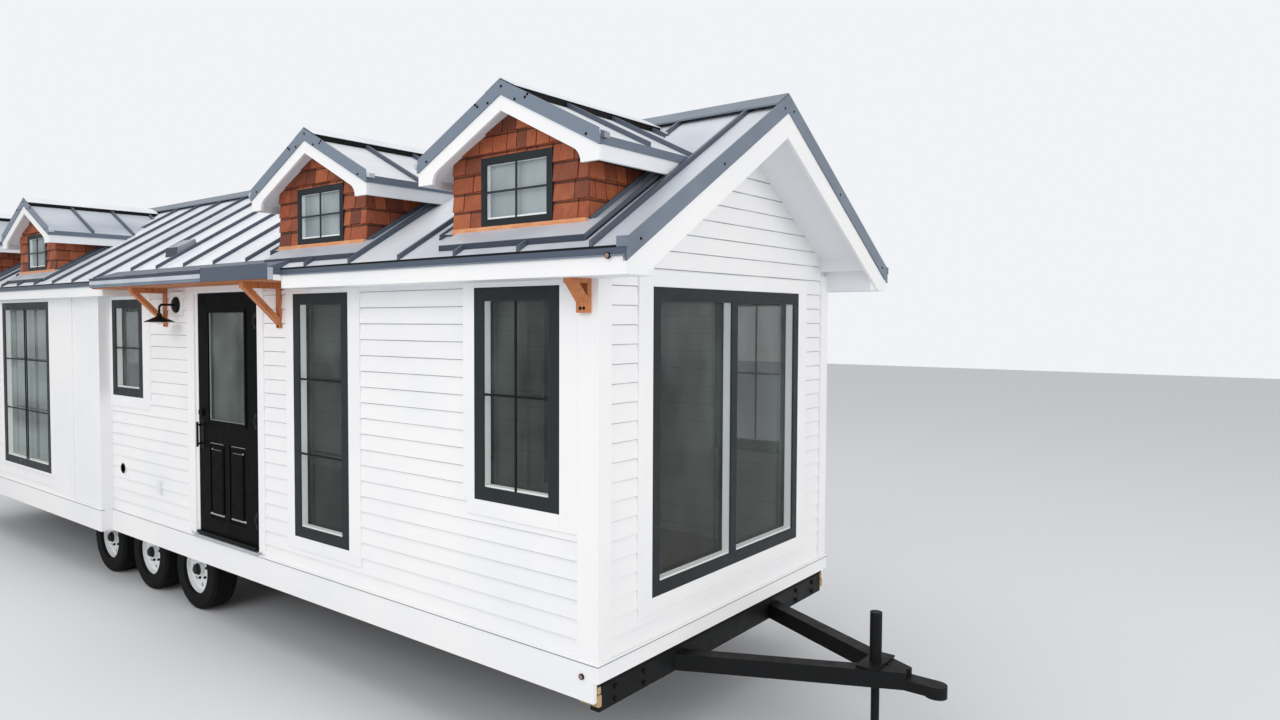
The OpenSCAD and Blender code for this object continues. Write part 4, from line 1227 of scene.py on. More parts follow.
@dataclass
class Cladding(Assembly):
    """Siding, window and door casings, and the bay's panel boards."""

    casing: float = 0.02
    head: float = 2.88
    board: float = 0.08
    border: float = 0.098

    def case(self, wall: Wall, name: str, panels: Iterable[Panel]) -> None:
        """Sets flat casing boards on a wall."""
        boards = wall.boards(panels, -0.001, self.casing)
        wall.seat(boards, name + "_casings", self.palette.white, Slot.WHITE)

    def entry_side(self) -> None:
        """Boards the entry side from the bay to the near corner."""
        shell, wall = self.shell, self.shell.wall("entry")
        deck, soffit, high = shell.deck, shell.soffit, shell.canopy_soffit
        near, tall, small = shell.windows.near, shell.windows.tall, shell.windows.small
        LapSiding(shell, self.palette.siding).build(wall, (
            Panel(3.03, 4.10, deck, soffit), Panel(4.10, shell.end - 0.11, deck, 1.44),
            Panel(1.83, 2.18, deck, soffit), Panel(2.18, 3.03, deck, 0.91),
            Panel(-0.07, 0.67, deck, high), Panel(shell.bay_end + 0.02, -0.07, deck, 1.78)), deck)
        around_near = (
            Panel(4.066, near.left, near.low, soffit), Panel(near.right, 4.955, 1.424, soffit),
            Panel(4.094, near.right, 1.424, near.low), Panel(near.left, near.right, near.high, soffit))
        around_tall = (
            Panel(2.164, tall.left, tall.low, high), Panel(tall.right, 3.05, tall.low, soffit),
            Panel(2.158, 3.056, 0.89, tall.low), Panel(tall.left, 2.503, tall.high, high),
            Panel(2.503, tall.right, tall.high, soffit))
        around_small = (
            Panel(small.right, -0.05, small.low, high), Panel(-0.9, small.left, 1.76, soffit),
            Panel(small.left, -0.07, 1.76, small.low), Panel(small.left, small.right, small.high, 2.814))
        around_door = (
            Panel(0.651, 0.767, deck + 0.031, high), Panel(1.762, 1.848, deck + 0.031, high),
            Panel(0.767, 1.762, 2.824, high))
        self.case(wall, "entry_side", around_near + around_tall + around_small + around_door)

    def bay(self) -> None:
        """Boards the bedroom bay, which has siding only beside and below its window."""
        deck, soffit = self.shell.deck, self.shell.soffit
        win, wall = self.shell.windows.bed, self.shell.wall("bay")
        low, lap, right = 0.92, -2.05, -1.55
        LapSiding(self.shell, self.palette.bay_siding).build(wall, (
            Panel(-self.shell.end + 0.11, win.left - self.board, deck, soffit),
            Panel(win.left - self.board, lap, deck, low)), deck - 0.0356)
        self.case(wall, "bay", (
            Panel(win.left - self.border, win.left, low, soffit), Panel(win.right, right, low, soffit),
            Panel(win.left, win.right, low, win.low), Panel(win.left, win.right, win.high, soffit),
            Panel(lap, right, deck, low)))

    def end_wall(self, name: str) -> None:
        """Boards an end wall around its window and up into the gable.

        Args:
            name: The wall's name.
        """
        deck, soffit = self.shell.deck, self.shell.soffit
        win, wall = self.shell.windows.end, self.shell.wall(name)
        side, inner, head = 1.36, 1.07, self.head
        LapSiding(self.shell, self.palette.siding).build(wall, (
            Panel(-side, -inner, deck, head - 0.02), Panel(inner, side, deck, head - 0.02),
            Panel(-inner, inner, deck, 0.90)), deck, Panel(-side, side, head - 0.02, self.shell.ridge))
        self.case(wall, name, (
            Panel(-1.091, win.left, win.low, head), Panel(win.right, 1.091, win.low, head),
            Panel(-1.085, 1.085, 0.889, win.low), Panel(win.left, win.right, win.high, head),
            Panel(-1.45, -1.35, soffit, 2.93), Panel(1.35, 1.45, soffit, 2.93)))

    def back(self) -> None:
        """Boards the back, with its three windows cased on all sides."""
        deck, soffit, edge = self.shell.deck, self.shell.soffit, self.shell.end - 0.11
        windows = self.shell.windows
        fields, casings = [], []
        start = -edge
        for win in (windows.near.mirrored(), windows.tall.mirrored(), windows.bed.mirrored()):
            fields += [Panel(start, win.left - self.board, deck, soffit),
                       Panel(win.left - self.board, win.right + self.board, deck, win.low - self.board)]
            start = win.right + self.board
            low = win.low - self.border
            casings += [Panel(win.left - self.border, win.left, low, soffit),
                        Panel(win.right, win.right + self.border, low, soffit),
                        Panel(win.left, win.right, low, win.low),
                        Panel(win.left, win.right, win.high, soffit)]
        fields.append(Panel(start, edge, deck, soffit))
        LapSiding(self.shell, self.palette.siding).build(self.shell.wall("back"), fields, deck)
        self.case(self.shell.wall("back"), "back", casings)

    def drip_caps(self) -> None:
        """Lays the rounded ledge on top of the skirt, with a grey strip of painted shadow under it."""
        deck, entry, bay, end = self.shell.deck, self.shell.entry, self.shell.bay, self.shell.end
        out, bay_end, line = 0.033, self.shell.bay_end, 0.0005
        runs = (((bay_end + 0.03, -entry - out), (0.766, -entry)), ((1.768, -entry - out), (end, -entry)),
                ((-end, -bay - out), (bay_end + 0.036, -bay)), ((-end, entry), (end, entry + out)),
                ((end, -entry - out), (end + out, entry + out)),
                ((-end - out, -bay - out), (-end, entry + out)))
        caps = [Bench.block((*low, deck - 0.002), (*top, deck + 0.009), 0.003) for low, top in runs]
        Bench.finish(caps, "skirt_drip_caps", self.palette.white, Slot.WHITE)
        # Grey strips of painted shadow under the ledge
        lines = [Bench.block((low[0] - line, low[1] - line, deck - 0.004),
                             (top[0] + line, top[1] + line, deck + line)) for low, top in runs]
        Bench.finish(lines, "skirt_drip_shadow_lines", self.palette.drip_shadow_line, Slot.WHITE)

    def build(self) -> None:
        """Builds the cladding of all sides."""
        self.entry_side()
        self.bay()
        self.end_wall("near_end")
        self.end_wall("far_end")
        self.back()
        self.drip_caps()


# Windows


@dataclass
class Glazing(Assembly):
    """White reveals, thin sash beads and bars in the frame of every window."""

    border: float = 0.075
    bead: float = 0.006
    bar: float = 0.014
    liner: float = 0.003
    face: float = 0.02
    glass_in: float = 0.042

    def window(self, wall: Wall, opening: Panel, columns: Sequence[float],
               rows: Sequence[float]) -> tuple[list[Piece], list[Piece], list[Piece]]:
        """Makes the reveal, the bead and the bars of one pane.

        Args:
            wall: The wall of the window.
            opening: The window's rectangle.
            columns: Shares of the width at which bars stand.
            rows: Shares of the height at which bars lie.

        Returns:
            The reveals, the beads and the bars, still turned to the entry side.
        """
        pane = opening.grown(-self.border)
        clear = pane.grown(-self.bead)
        front, step, half = self.face - 0.002, self.face - 0.009, self.bar / 2
        reveals = wall.boards(pane.ring(self.liner, self.liner * 5), -self.glass_in + 0.0002, step, 0.001)
        beads = wall.boards(pane.ring(self.bead, self.bead), step, front, 0.001)
        upright = [pane.left + (pane.right - pane.left) * share for share in columns]
        level = [pane.low + (pane.high - pane.low) * share for share in rows]
        bars = [Panel(x - half, x + half, clear.low, clear.high) for x in upright]
        bars += [Panel(clear.left, clear.right, z - half, z + half) for z in level]
        return reveals, beads, wall.boards(bars, step - 0.004, front)

    def side(self, wall: Wall, name: str, windows: Sequence[tuple]) -> None:
        """Builds the window pieces of one wall.

        Args:
            wall: The wall.
            name: What the pieces' names start with.
            windows: Each window's rectangle, columns and rows.
        """
        sets = [self.window(wall, *window) for window in windows]
        looks = (("reveals", self.palette.reveal, Slot.WHITE), ("beads", self.palette.bead, Slot.FRAME),
                 ("bars", self.palette.bar, Slot.FRAME))
        for (what, paint, slot), groups in zip(looks, zip(*sets)):
            parts = sum(groups, [])
            if parts:
                wall.seat(parts, f"{name}_window_{what}", paint, slot)

    def build(self) -> None:
        """Builds the window pieces of all walls."""
        shell, wins = self.shell, self.shell.windows
        middle, thirds = (0.5,), (1 / 3, 2 / 3)
        self.side(shell.wall("entry"), "entry_side", (
            (wins.near, middle, middle), (wins.tall, (), thirds), (wins.small, (), middle)))
        self.side(shell.wall("bay"), "bedroom", ((wins.bed, (0.48, 0.52), thirds),))
        self.side(shell.wall("back"), "back", (
            (wins.near.mirrored(), middle, middle), (wins.tall.mirrored(), (), thirds),
            (wins.bed.mirrored(), middle, thirds)))
        # Both halves of an end window take in the post between them, which their borders cover
        post = self.border / 2
        halves = [(Panel(left, right, wins.end.low, wins.end.high), (), ())
                  for left, right in ((wins.end.left, post), (-post, wins.end.right))]
        for name in ("near_end", "far_end"):
            self.side(shell.wall(name), name, halves)


# Dormers


@dataclass
class Dormer(Assembly):
    """What one dormer carries: shingles, bars, sill strip, flashing, cap and screws."""

    name: str
    x: float
    seed: int
    half: float = 0.5
    front: float = 1.48
    depth: float = 0.86
    rake_face: float = 1.628
    roof_half: float = 0.685
    ridge: float = 3.885
    cap_back: float = 0.2
    pitch: float = 0.525
    slab: float = 0.09
    window: Panel = Panel(-0.272, 0.272, 3.132, 3.532)
    row: float = 0.107
    rows: int = 7
    rows_below: int = 4
    butt: float = 0.017
    gap: float = 0.005
    widths: tuple[float, ...] = (0.075, 0.095, 0.11, 0.13, 0.15, 0.175)

    def roof(self, x: float) -> float:
        """Height of the dormer's sheet at a distance from its middle."""
        return self.ridge - self.pitch * abs(x)

    def template(self) -> Piece:
        """Models one shingle of unit width and height, thin at its top.

        Returns:
            The shingle, with its foot on the X axis and its face to -Y.
        """
        piece = Bench.block((0, -self.butt, 0), (1, 0.001, 1))
        Bench.push(piece, lambda co: co.z > 0.5 and co.y < 0, (0, self.butt - 0.004, 0))
        Bench.push(piece, lambda co: co.z < 0.5 and co.x > 0.5, (0, 0, 0.02))
        return piece

    def shingle(self, template: Piece, panel: Panel, tone: float, lift: float) -> Piece:
        """Copies the template to one place.

        Args:
            template: The shingle of unit size.
            panel: Its rectangle on the wall.
            tone: How dark it is, from 0 to 1.
            lift: How far it stands off the wall beyond its own thickness.

        Returns:
            The shingle.
        """
        piece = Bench.copy(template)
        for corner in piece.data.vertices:
            corner.co.x = panel.left + self.gap / 2 + corner.co.x * (panel.right - panel.left - self.gap)
            corner.co.z = panel.low + corner.co.z * (panel.high - panel.low)
            if corner.co.y < 0:
                corner.co.y -= lift
        attribute = piece.data.attributes.new("tone", "FLOAT", "POINT")
        attribute.data.foreach_set("value", [tone] * len(piece.data.vertices))
        return piece

    def course(self, template: Piece, left: float, right: float, low: float, dice: random.Random,
               hole: Panel | None) -> list[Piece]:
        """Lays one row of shingles of mixed widths, around a window.

        Args:
            template: The shingle of unit size.
            left: Where the row starts.
            right: Where it ends.
            low: Height of its butts.
            dice: The seeded random numbers.
            hole: The window, or None.

        Returns:
            The shingles.
        """
        parts = []
        spans = [(left, right)]
        if hole and low < hole.high and low + self.row > hole.low:
            spans = [(left, hole.left), (hole.right, right)]
            if low + self.row > hole.high + 0.01:
                spans.append((hole.left, hole.right))
        for start, stop in spans:
            base = hole.high if hole and start == hole.left else low
            spot = start
            while spot < stop - 1e-4:
                width = dice.choice(self.widths)
                edge = stop if stop - spot < width + 0.05 else spot + width
                panel = Panel(spot, edge, base + dice.uniform(-0.003, 0.003), low + self.row + 0.002)
                parts.append(self.shingle(template, panel, dice.random(), dice.uniform(0, 0.004)))
                spot = edge
        return parts

    def shingles(self) -> None:
        """Covers the front and both cheeks, and trims the rows under the roof."""
        dice = random.Random(self.seed)
        template = self.template()
        front, cheek = [], []
        reach = self.half + self.butt
        for number in range(-self.rows_below, self.rows):
            low = self.window.low + number * self.row
            if number >= 0:
                front += self.course(template, -reach, reach, low, dice, self.window)
            cheek += self.course(template, -self.depth, 0.0, low, dice, None)
        bpy.data.objects.remove(template)
        face = Bench.slide(Bench.join(front), 1, -self.front)
        for side in SIDES:
            Bench.cut(face, (0, 0, self.ridge - self.slab), (side * self.pitch, 0, 1))
        sheet = Bench.join(cheek)
        for corner in sheet.data.vertices:
            away, back, up = -corner.co.y, -corner.co.x, corner.co.z
            corner.co = (self.half + away, -self.front + back, up)
        Bench.cut(sheet, (0, 0, self.roof(self.half) - self.slab), UP)
        Bench.cut(sheet, (0, 0, self.shell.ridge + 0.036), (0, -self.shell.pitch, 1), Keep.ABOVE)
        piece = Bench.join((face, sheet, Bench.mirrored(sheet, 0)))
        with Bench.editing(piece):
            Bench.outwards()
        self.place(piece, "shingles", self.palette.shingle, Slot.CEDAR)

    def place(self, parts: Piece | Iterable[Piece], what: str, material: Material, slot: Slot) -> None:
        """Moves pieces from the middle of the house to this dormer and finishes them."""
        Bench.finish(Bench.slide(Bench.join(parts), 0, self.x), f"{self.name}_{what}", material, slot)

    def bars(self) -> None:
        """Makes the reveal, the bead and the cross bars of the dormer window."""
        glazing = Glazing(self.shell, self.palette, border=0.04, bead=0.004, bar=0.012, glass_in=0.02)
        reveals, beads, bars = glazing.window(Wall("dormer", self.front, 0), self.window, (0.5,), (0.5,))
        self.place(reveals, "window_reveals", self.palette.reveal, Slot.WHITE)
        self.place(beads + bars, "window_bars", self.palette.bead, Slot.FRAME)

    def sill(self) -> None:
        """Lays the pale cedar strip at the foot of the front."""
        strip = Bench.block((-self.half - 0.012, -self.front - 0.032, self.shell.roof(self.front) + 0.006),
                            (self.half + 0.012, -self.front - 0.013, self.window.low + 0.002), 0.002)
        self.place(strip, "sill_strip", self.palette.fresh_cedar, Slot.CEDAR)

    def sloped(self, left: float, right: float, y_low: float, y_high: float, under: float,
               over: float) -> Piece:
        """Makes a strip on the main roof's slope.

        Args:
            left: Where it starts on X.
            right: Where it ends.
            y_low: How far from the house's middle its foot lies.
            y_high: How far its top end lies.
            under: Height of its underside over the sheet.
            over: Height of its top.

        Returns:
            The strip.
        """
        roof = self.shell.roof
        return Bench.prism(((-y_low, roof(y_low) + under), (-y_high, roof(y_high) + under),
                            (-y_high, roof(y_high) + over), (-y_low, roof(y_low) + over)), "X", left, right)

    def up_cheeks(self, near: float, far: float, foot: float, under: float, over: float) -> list[Piece]:
        """Makes a strip up the roof beside each cheek, with a higher foot on the side of the lower X.

        Args:
            near: Its distance from the dormer's middle.
            far: The distance of its other side.
            foot: How far from the house's middle it starts on the side of the higher X.
            under: Height of its underside over the sheet.
            over: Height of its top.

        Returns:
            The two strips.
        """
        top = 0.93
        return [self.sloped(-far, -near, min(foot, self.front + 0.03), top, under, over),
                self.sloped(near, far, foot, top, under, over)]

    def flashing(self) -> None:
        """Makes the apron before the sill with its folded lip, the stepped flashing up each cheek, and a
        black strip of painted shadow beside each rib.
        """
        out, lip_y, start = self.half + 0.122, 1.65, -self.half + 0.03
        pans = self.up_cheeks(self.half + 0.002, out - 0.012, self.front, 0.016, 0.019)
        upstands = self.up_cheeks(self.half + 0.018, self.half + 0.03, self.front + 0.006, 0.016, 0.046)
        ribs = self.up_cheeks(out - 0.013, out, lip_y, 0.002, 0.034)
        # Thin black strips beside the ribs: painted shadow
        painted_shadows = self.up_cheeks(out, out + 0.005, lip_y - 0.004, 0.002, 0.008)
        pans.append(self.sloped(start, out - 0.013, lip_y, self.front, 0.030, 0.033))
        self.place(pans, "apron_flashing", self.palette.plain_sheet, Slot.SHEET)
        ribs.append(self.sloped(start, out, lip_y + 0.006, lip_y, 0.004, 0.034))
        self.place(upstands + ribs, "flashing_ribs", self.palette.flashing_rib, Slot.TRIM)
        self.place(painted_shadows, "flashing_shadow_line", self.palette.black, Slot.TRIM)
        reach = self.half + 0.012
        fold = self.sloped(-reach, reach, self.front + 0.012, self.front, 0.033, 0.04)
        self.place(fold, "apron_fold", self.palette.white_metal, Slot.SHEET)

    def along_ridge(self, near: float, far: float, under: float, over: float, inset: float) -> list[Piece]:
        """Makes a strip along both slopes of the dormer's roof.

        Args:
            near: Its distance from the ridge.
            far: The distance of its other side.
            under: Height of its underside over the sheet.
            over: Height of its top.
            inset: How far behind the rake boards it starts.

        Returns:
            The two strips.
        """
        return [Bench.prism(((side * near, self.roof(near) + under), (side * far, self.roof(far) + under),
                             (side * far, self.roof(far) + over), (side * near, self.roof(near) + over)),
                            "Y", -self.rake_face + inset, -self.cap_back) for side in SIDES]

    def cap(self) -> None:
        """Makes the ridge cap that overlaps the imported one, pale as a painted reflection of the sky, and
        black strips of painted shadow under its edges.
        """
        low = 0.0415
        folds = self.along_ridge(0, 0.118, low, low + 0.004, 0.004)
        self.place(folds, "ridge_cap", self.palette.white_metal, Slot.SHEET)
        # Black strips under the cap's edges: painted shadow
        cap_shadow_strips = self.along_ridge(0.088, 0.112, 0.001, low, 0.012)
        self.place(cap_shadow_strips, "ridge_cap_shadow_strips", self.palette.black, Slot.TRIM)

    def screws(self) -> None:
        """Sets small dark screws on the rake metal, and the short tab at each foot."""
        spots = [(x, -self.rake_face, self.roof(x) + rise) for x, rise in (
            (0.011, 0.0), (0.205, 0.026), (0.188, 0.004), (0.113, -0.034), (-0.19, 0.022), (-0.172, 0.0),
            (-0.092, -0.034), (0.605, -0.030), (-0.605, -0.030))]
        screw = Bench.turned(((0.008, 0), (0.008, 0.002), (0.005, 0.005)), 8, tilt=TO_ENTRY)
        self.place(Bench.at_each(screw, spots), "rake_screws", self.palette.black, Slot.BLACK)
        foot = self.roof(self.roof_half)
        corners = ((-0.004, foot - 0.012), (0.035, foot - 0.02), (0.035, foot + 0.008),
                   (-0.004, foot + 0.03))
        tabs = [Bench.prism([(side * (self.roof_half + out), z) for out, z in corners], "Y",
                            -self.rake_face + 0.004, -self.rake_face + 0.05, 0.001) for side in SIDES]
        self.place(tabs, "rake_tabs", self.palette.sheet, Slot.SHEET)

    def build(self) -> None:
        """Builds all that the dormer carries."""
        self.shingles()
        self.bars()
        self.sill()
        self.flashing()
        self.cap()
        self.screws()


# Roof edges


@dataclass
class RoofEdges(Assembly):
    """Screws, end caps, hems and black strips of painted shadow along the main roof's metal edges."""

    corner: float = 0.055

    def along_eaves(self, stretches: Iterable[tuple[int, float, float]], inner: float, outer: float,
                    low: float, high: float, edge: float = 0.0) -> list[Piece]:
        """Makes a strip on each stretch of the eaves.

        Args:
            stretches: The side, -1 for the entry side, and the two ends of each.
            inner: How far out of the eave its back lies.
            outer: How far out its front lies.
            low: Its foot's height against the sheet's edge.
            high: Its top's height.
            edge: Width of its eased edges.

        Returns:
            The strips.
        """
        eave, top = self.shell.eave, self.shell.roof(self.shell.eave)
        strips = []
        for side, left, right in stretches:
            front, back = sorted((side * (eave + inner), side * (eave + outer)))
            strips.append(Bench.block((left, front, top + low), (right, back, top + high), edge))
        return strips

    def build(self) -> None:
        """Builds the roof's small metal work."""
        shell, end = self.shell, self.shell.roof_end
        screw = Bench.turned(((0.008, 0), (0.008, 0.002), (0.004, 0.005)), 8, tilt=TO_HITCH)
        spots = [(end + 0.008, side * y, shell.roof(y) + rise) for side in SIDES
                 for y, rise in ((0.06, -0.03), (0.8, -0.035), (shell.eave - 0.11, -0.03))]
        near = Bench.at_each(screw, spots)
        Bench.finish((near, Bench.mirrored(near, 0)), "gable_screws", self.palette.black, Slot.BLACK)
        corners = [(side, end - 0.05, end + 0.012) for side in SIDES]
        caps = self.along_eaves(corners, -0.008, 0.016, -0.01, 0.042, 0.002)
        pairs = [(cap, Bench.mirrored(cap, 0)) for cap in caps]
        Bench.finish(sum(pairs, ()), "eave_corner_caps", self.palette.trim, Slot.TRIM)
        # Black strips at the top of the eave metal: painted shadow under the pans' ends
        painted_shadows = self.along_eaves((
            (-1, -end, shell.canopy_left), (-1, 2.51, end - self.corner),
            (1, -end + self.corner, end - self.corner)), 0.0075, 0.0095, -0.012, -0.001)
        Bench.finish(painted_shadows, "eave_shadow_lines", self.palette.black, Slot.TRIM)
        hems = self.along_eaves((
            (-1, -end, shell.canopy_left), (-1, shell.canopy_right, end), (1, -end, end)),
            0.006, 0.014, -0.053, -0.045, 0.002)
        Bench.finish(hems, "eave_hems", self.palette.trim, Slot.TRIM)


# Entry


@dataclass
class Entry(Assembly):
    """Door details, the canopy's strips and the fittings beside the door."""

    slab_left: float = 0.81
    slab_right: float = 1.724
    slab_low: float = 0.78
    light_half: float = 0.28
    light_low: float = 1.752
    light_high: float = 2.652
    moulding: float = 0.024
    bead: float = 0.008

    @property
    def face(self) -> float:
        """Where the entry wall's face lies on Y."""
        return -self.shell.entry

    def hang(self, parts: Piece | Iterable[Piece], what: str, material: Material, slot: Slot) -> None:
        """Finishes pieces that swing with the door."""
        Bench.finish(parts, what, material, slot, Body.DOOR.value)

    def door(self) -> None:
        """Makes the door light's moulding and bead, the panels with their painted highlights, the sweep and
        the lock plate.
        """
        face, foot = self.face, self.slab_low
        middle = (self.slab_left + self.slab_right) / 2
        light = Panel(middle - self.light_half, middle + self.light_half, self.light_low, self.light_high)
        around = light.grown(self.moulding).ring(self.moulding, self.moulding)
        moulding = Bench.boards(face - 0.009, face + 0.002, 0.003, around)
        self.hang(moulding, "door_light_moulding", self.palette.door, Slot.DOOR)
        # The bead runs along the sides and the foot
        bead = Bench.boards(face + 0.004, face + 0.0168, 0.002, light.ring(self.bead, self.bead)[:3])
        self.hang(bead, "door_glass_bead", self.palette.grey_plastic, Slot.WHITE)
        panels = [Panel(x - 0.078, x + 0.078, foot + 0.197, foot + 0.743)
                  for x in (middle - 0.155, middle + 0.155)]
        fields = Bench.boards(face - 0.004, face + 0.002, 0.0035, panels)
        self.hang(fields, "door_panel_fields", self.palette.door, Slot.DOOR)
        # Light grey slivers at each panel's top and bottom: painted highlight
        heights = ((0.180, 0.194, 0.112), (0.727, 0.743, 0.078), (0.779, 0.783, 0.105))
        edges = [Bench.prism(((face - 0.005, foot + low), (face + 0.002, foot + high),
                              (face + 0.002, foot + low)), "X", x - half, x + half)
                 for x in (middle - 0.17, middle + 0.17) for low, high, half in heights]
        self.hang(edges, "door_panel_highlights", self.palette.door_edge_highlight, Slot.DOOR)
        sweep = Bench.block((self.slab_left - 0.018, face - 0.028, foot - 0.004),
                            (self.slab_right - 0.004, face, foot + 0.018), 0.004)
        self.hang(sweep, "door_sweep", self.palette.black, Slot.BLACK)
        plate = Bench.block((0.84, face - 0.004, 1.50), (0.89, face + 0.001, 1.75), 0.002)
        key = Bench.turned(((0.012, 0), (0.012, 0.004), (0.008, 0.006)), 16, (0.865, face - 0.022, 1.81),
                           TO_ENTRY)
        self.hang((plate, key), "lockset_plate", self.palette.black, Slot.BLACK)

    def canopy(self) -> None:
        """Adds the stacked strips of the canopy's front, the steps in its cap and its soffit boards."""
        shell, palette, front = self.shell, self.palette, -self.shell.canopy_front
        left, joint, right = shell.canopy_left, 1.585, shell.canopy_right
        lip = Bench.block((left, front - 0.006, 2.880), (joint, front, 2.906), 0.002)
        Bench.finish(lip, "canopy_fascia_lip", palette.trim, Slot.TRIM)
        pale = (Bench.block((left, front - 0.007, 2.907), (joint, front, 2.942), 0.002),
                Bench.block((right, front + 0.002, 2.872), (right + 0.003, front + 0.044, 2.958), 0.001))
        Bench.finish(pale, "canopy_fascia_strips", palette.plain_sheet, Slot.SHEET)
        board = Bench.block((right, front + 0.045, 2.868), (right + 0.005, -shell.eave - 0.002, 2.908),
                            0.001)
        Bench.finish(board, "canopy_end_board", palette.white, Slot.WHITE)
        steps = [Bench.block((a, front - 0.012, 2.958), (b, front + 0.05, c), 0.001) for a, b, c in (
            (left, 0.30, 2.966), (0.30, 0.92, 2.970), (0.92, joint, 2.974))]
        steps.append(Bench.block((left, front - 0.009, 2.942), (joint, front, 2.957), 0.001))
        Bench.finish(steps, "canopy_cap_strip", palette.dark_trim, Slot.TRIM)
        width, start, soffit = 0.09, self.face - 0.365, shell.canopy_soffit
        boards = [Bench.block((left, start + number * width + 0.002, soffit - 0.006),
                              (right, start + (number + 1) * width - 0.002, soffit + 0.001), 0.002)
                  for number in range(4)]
        Bench.finish(boards, "canopy_soffit_boards", palette.cedar, Slot.CEDAR)

    def nails(self) -> None:
        """Sets the dark bolt heads at the feet of the brackets and the corbel."""
        head = Bench.turned(((0.009, 0), (0.009, 0.003), (0.005, 0.005)), 12, tilt=TO_ENTRY)
        spots = [(x, self.face - out, z) for x, out, z in (
            (0.253, 0.022, 2.545), (2.068, 0.022, 2.545), (5.0, 0.054, 2.656), (5.024, 0.054, 2.656))]
        Bench.finish(Bench.at_each(head, spots), "bracket_bolts", self.palette.black, Slot.BLACK)

    def lamp(self) -> None:
        """Frames the lamp's block and hangs a bulb under its shade."""
        frame = Panel(0.372, 0.582, 2.63, 2.835).ring(0.018, 0.018)
        Bench.finish(Bench.boards(self.face - 0.029, self.face - 0.024, 0.0015, frame), "lamp_block_frame",
                     self.palette.white, Slot.WHITE)
        outline = ((0.014, 0), (0.016, 0.02), (0.03, 0.045), (0.03, 0.06), (0.016, 0.08), (0.003, 0.085))
        bulb = Bench.turned(outline, 24, (0.477, self.face - 0.176, 2.634), (180, 0, 0))
        Bench.finish(bulb, "lamp_bulb", self.palette.grille, Slot.WHITE, smooth=True)

    def build(self) -> None:
        """Builds the entry's details."""
        self.door()
        self.canopy()
        self.nails()
        self.lamp()


# Fittings and running gear


@dataclass
class Fittings(Assembly):
    """Vent louvres, outlet covers and the bezels of the marker lights."""

    vent_x: float = -0.647
    vent_z: float = 1.163
    vent_radius: float = 0.035
    slat_step: float = 0.013

    def vent(self) -> None:
        """Puts louvres inside the round vent, dark as painted shade inside it, and a cover on the outlet
        box.
        """
        face = -self.shell.entry
        slats = []
        for number in range(-2, 3):
            z = self.vent_z + number * self.slat_step
            half = math.sqrt(self.vent_radius ** 2 - (number * self.slat_step) ** 2)
            outline = ((face - 0.006, z - 0.005), (face - 0.016, z - 0.006), (face - 0.006, z + 0.004))
            slats.append(Bench.prism(outline, "X", self.vent_x - half, self.vent_x + half))
        slats.append(Bench.turned(((0.049, 0), (0.049, 0.002), (0.037, 0.003), (0.037, 0)), 40,
                                  (self.vent_x, face - 0.018, self.vent_z), TO_ENTRY))
        # Louvres and ring take the dark hub paint: painted shade inside the vent
        Bench.finish(slats, "vent_louvres", self.palette.hub, Slot.WHITE)
        cover = Bench.block((0.082, face - 0.036, 1.024), (0.138, face - 0.029, 1.121), 0.003)
        screw = Bench.turned(((0.004, 0), (0.004, 0.003), (0.002, 0.004)), 10, (0.11, face - 0.036, 1.105),
                             TO_ENTRY)
        Bench.finish((cover, screw), "outlet_cover", self.palette.grille, Slot.WHITE)

    def bezels(self) -> None:
        """Puts a ring around each marker light."""
        shell, skirt = self.shell, 0.03
        end, skirt_z = shell.end - 0.078, shell.deck - 0.077
        eave_x, eave_y, eave_z = shell.roof_end - 0.102, -shell.eave - 0.008, shell.roof(shell.eave) - 0.05
        outline = ((0.016, 0), (0.016, 0.010), (0.0145, 0.0125), (0.0122, 0.0125), (0.0122, 0.001))
        ring = Bench.turned(outline, 32, tilt=TO_ENTRY)
        spots = [(end, -shell.entry - skirt, skirt_z), (-end, -shell.bay - skirt, skirt_z),
                 (eave_x, eave_y, eave_z), (-eave_x, eave_y, eave_z)]
        front = Bench.at_each(Bench.copy(ring), spots)
        spots[1] = (-end, -shell.entry - skirt, skirt_z)
        unturned = Bench.at_each(ring, spots)
        rear = Bench.mirrored(unturned, 1)
        bpy.data.objects.remove(unturned)
        Bench.finish((front, rear), "marker_light_bezels", self.palette.black, Slot.BLACK, smooth=True)

    def build(self) -> None:
        """Builds the fittings."""
        self.vent()
        self.bezels()


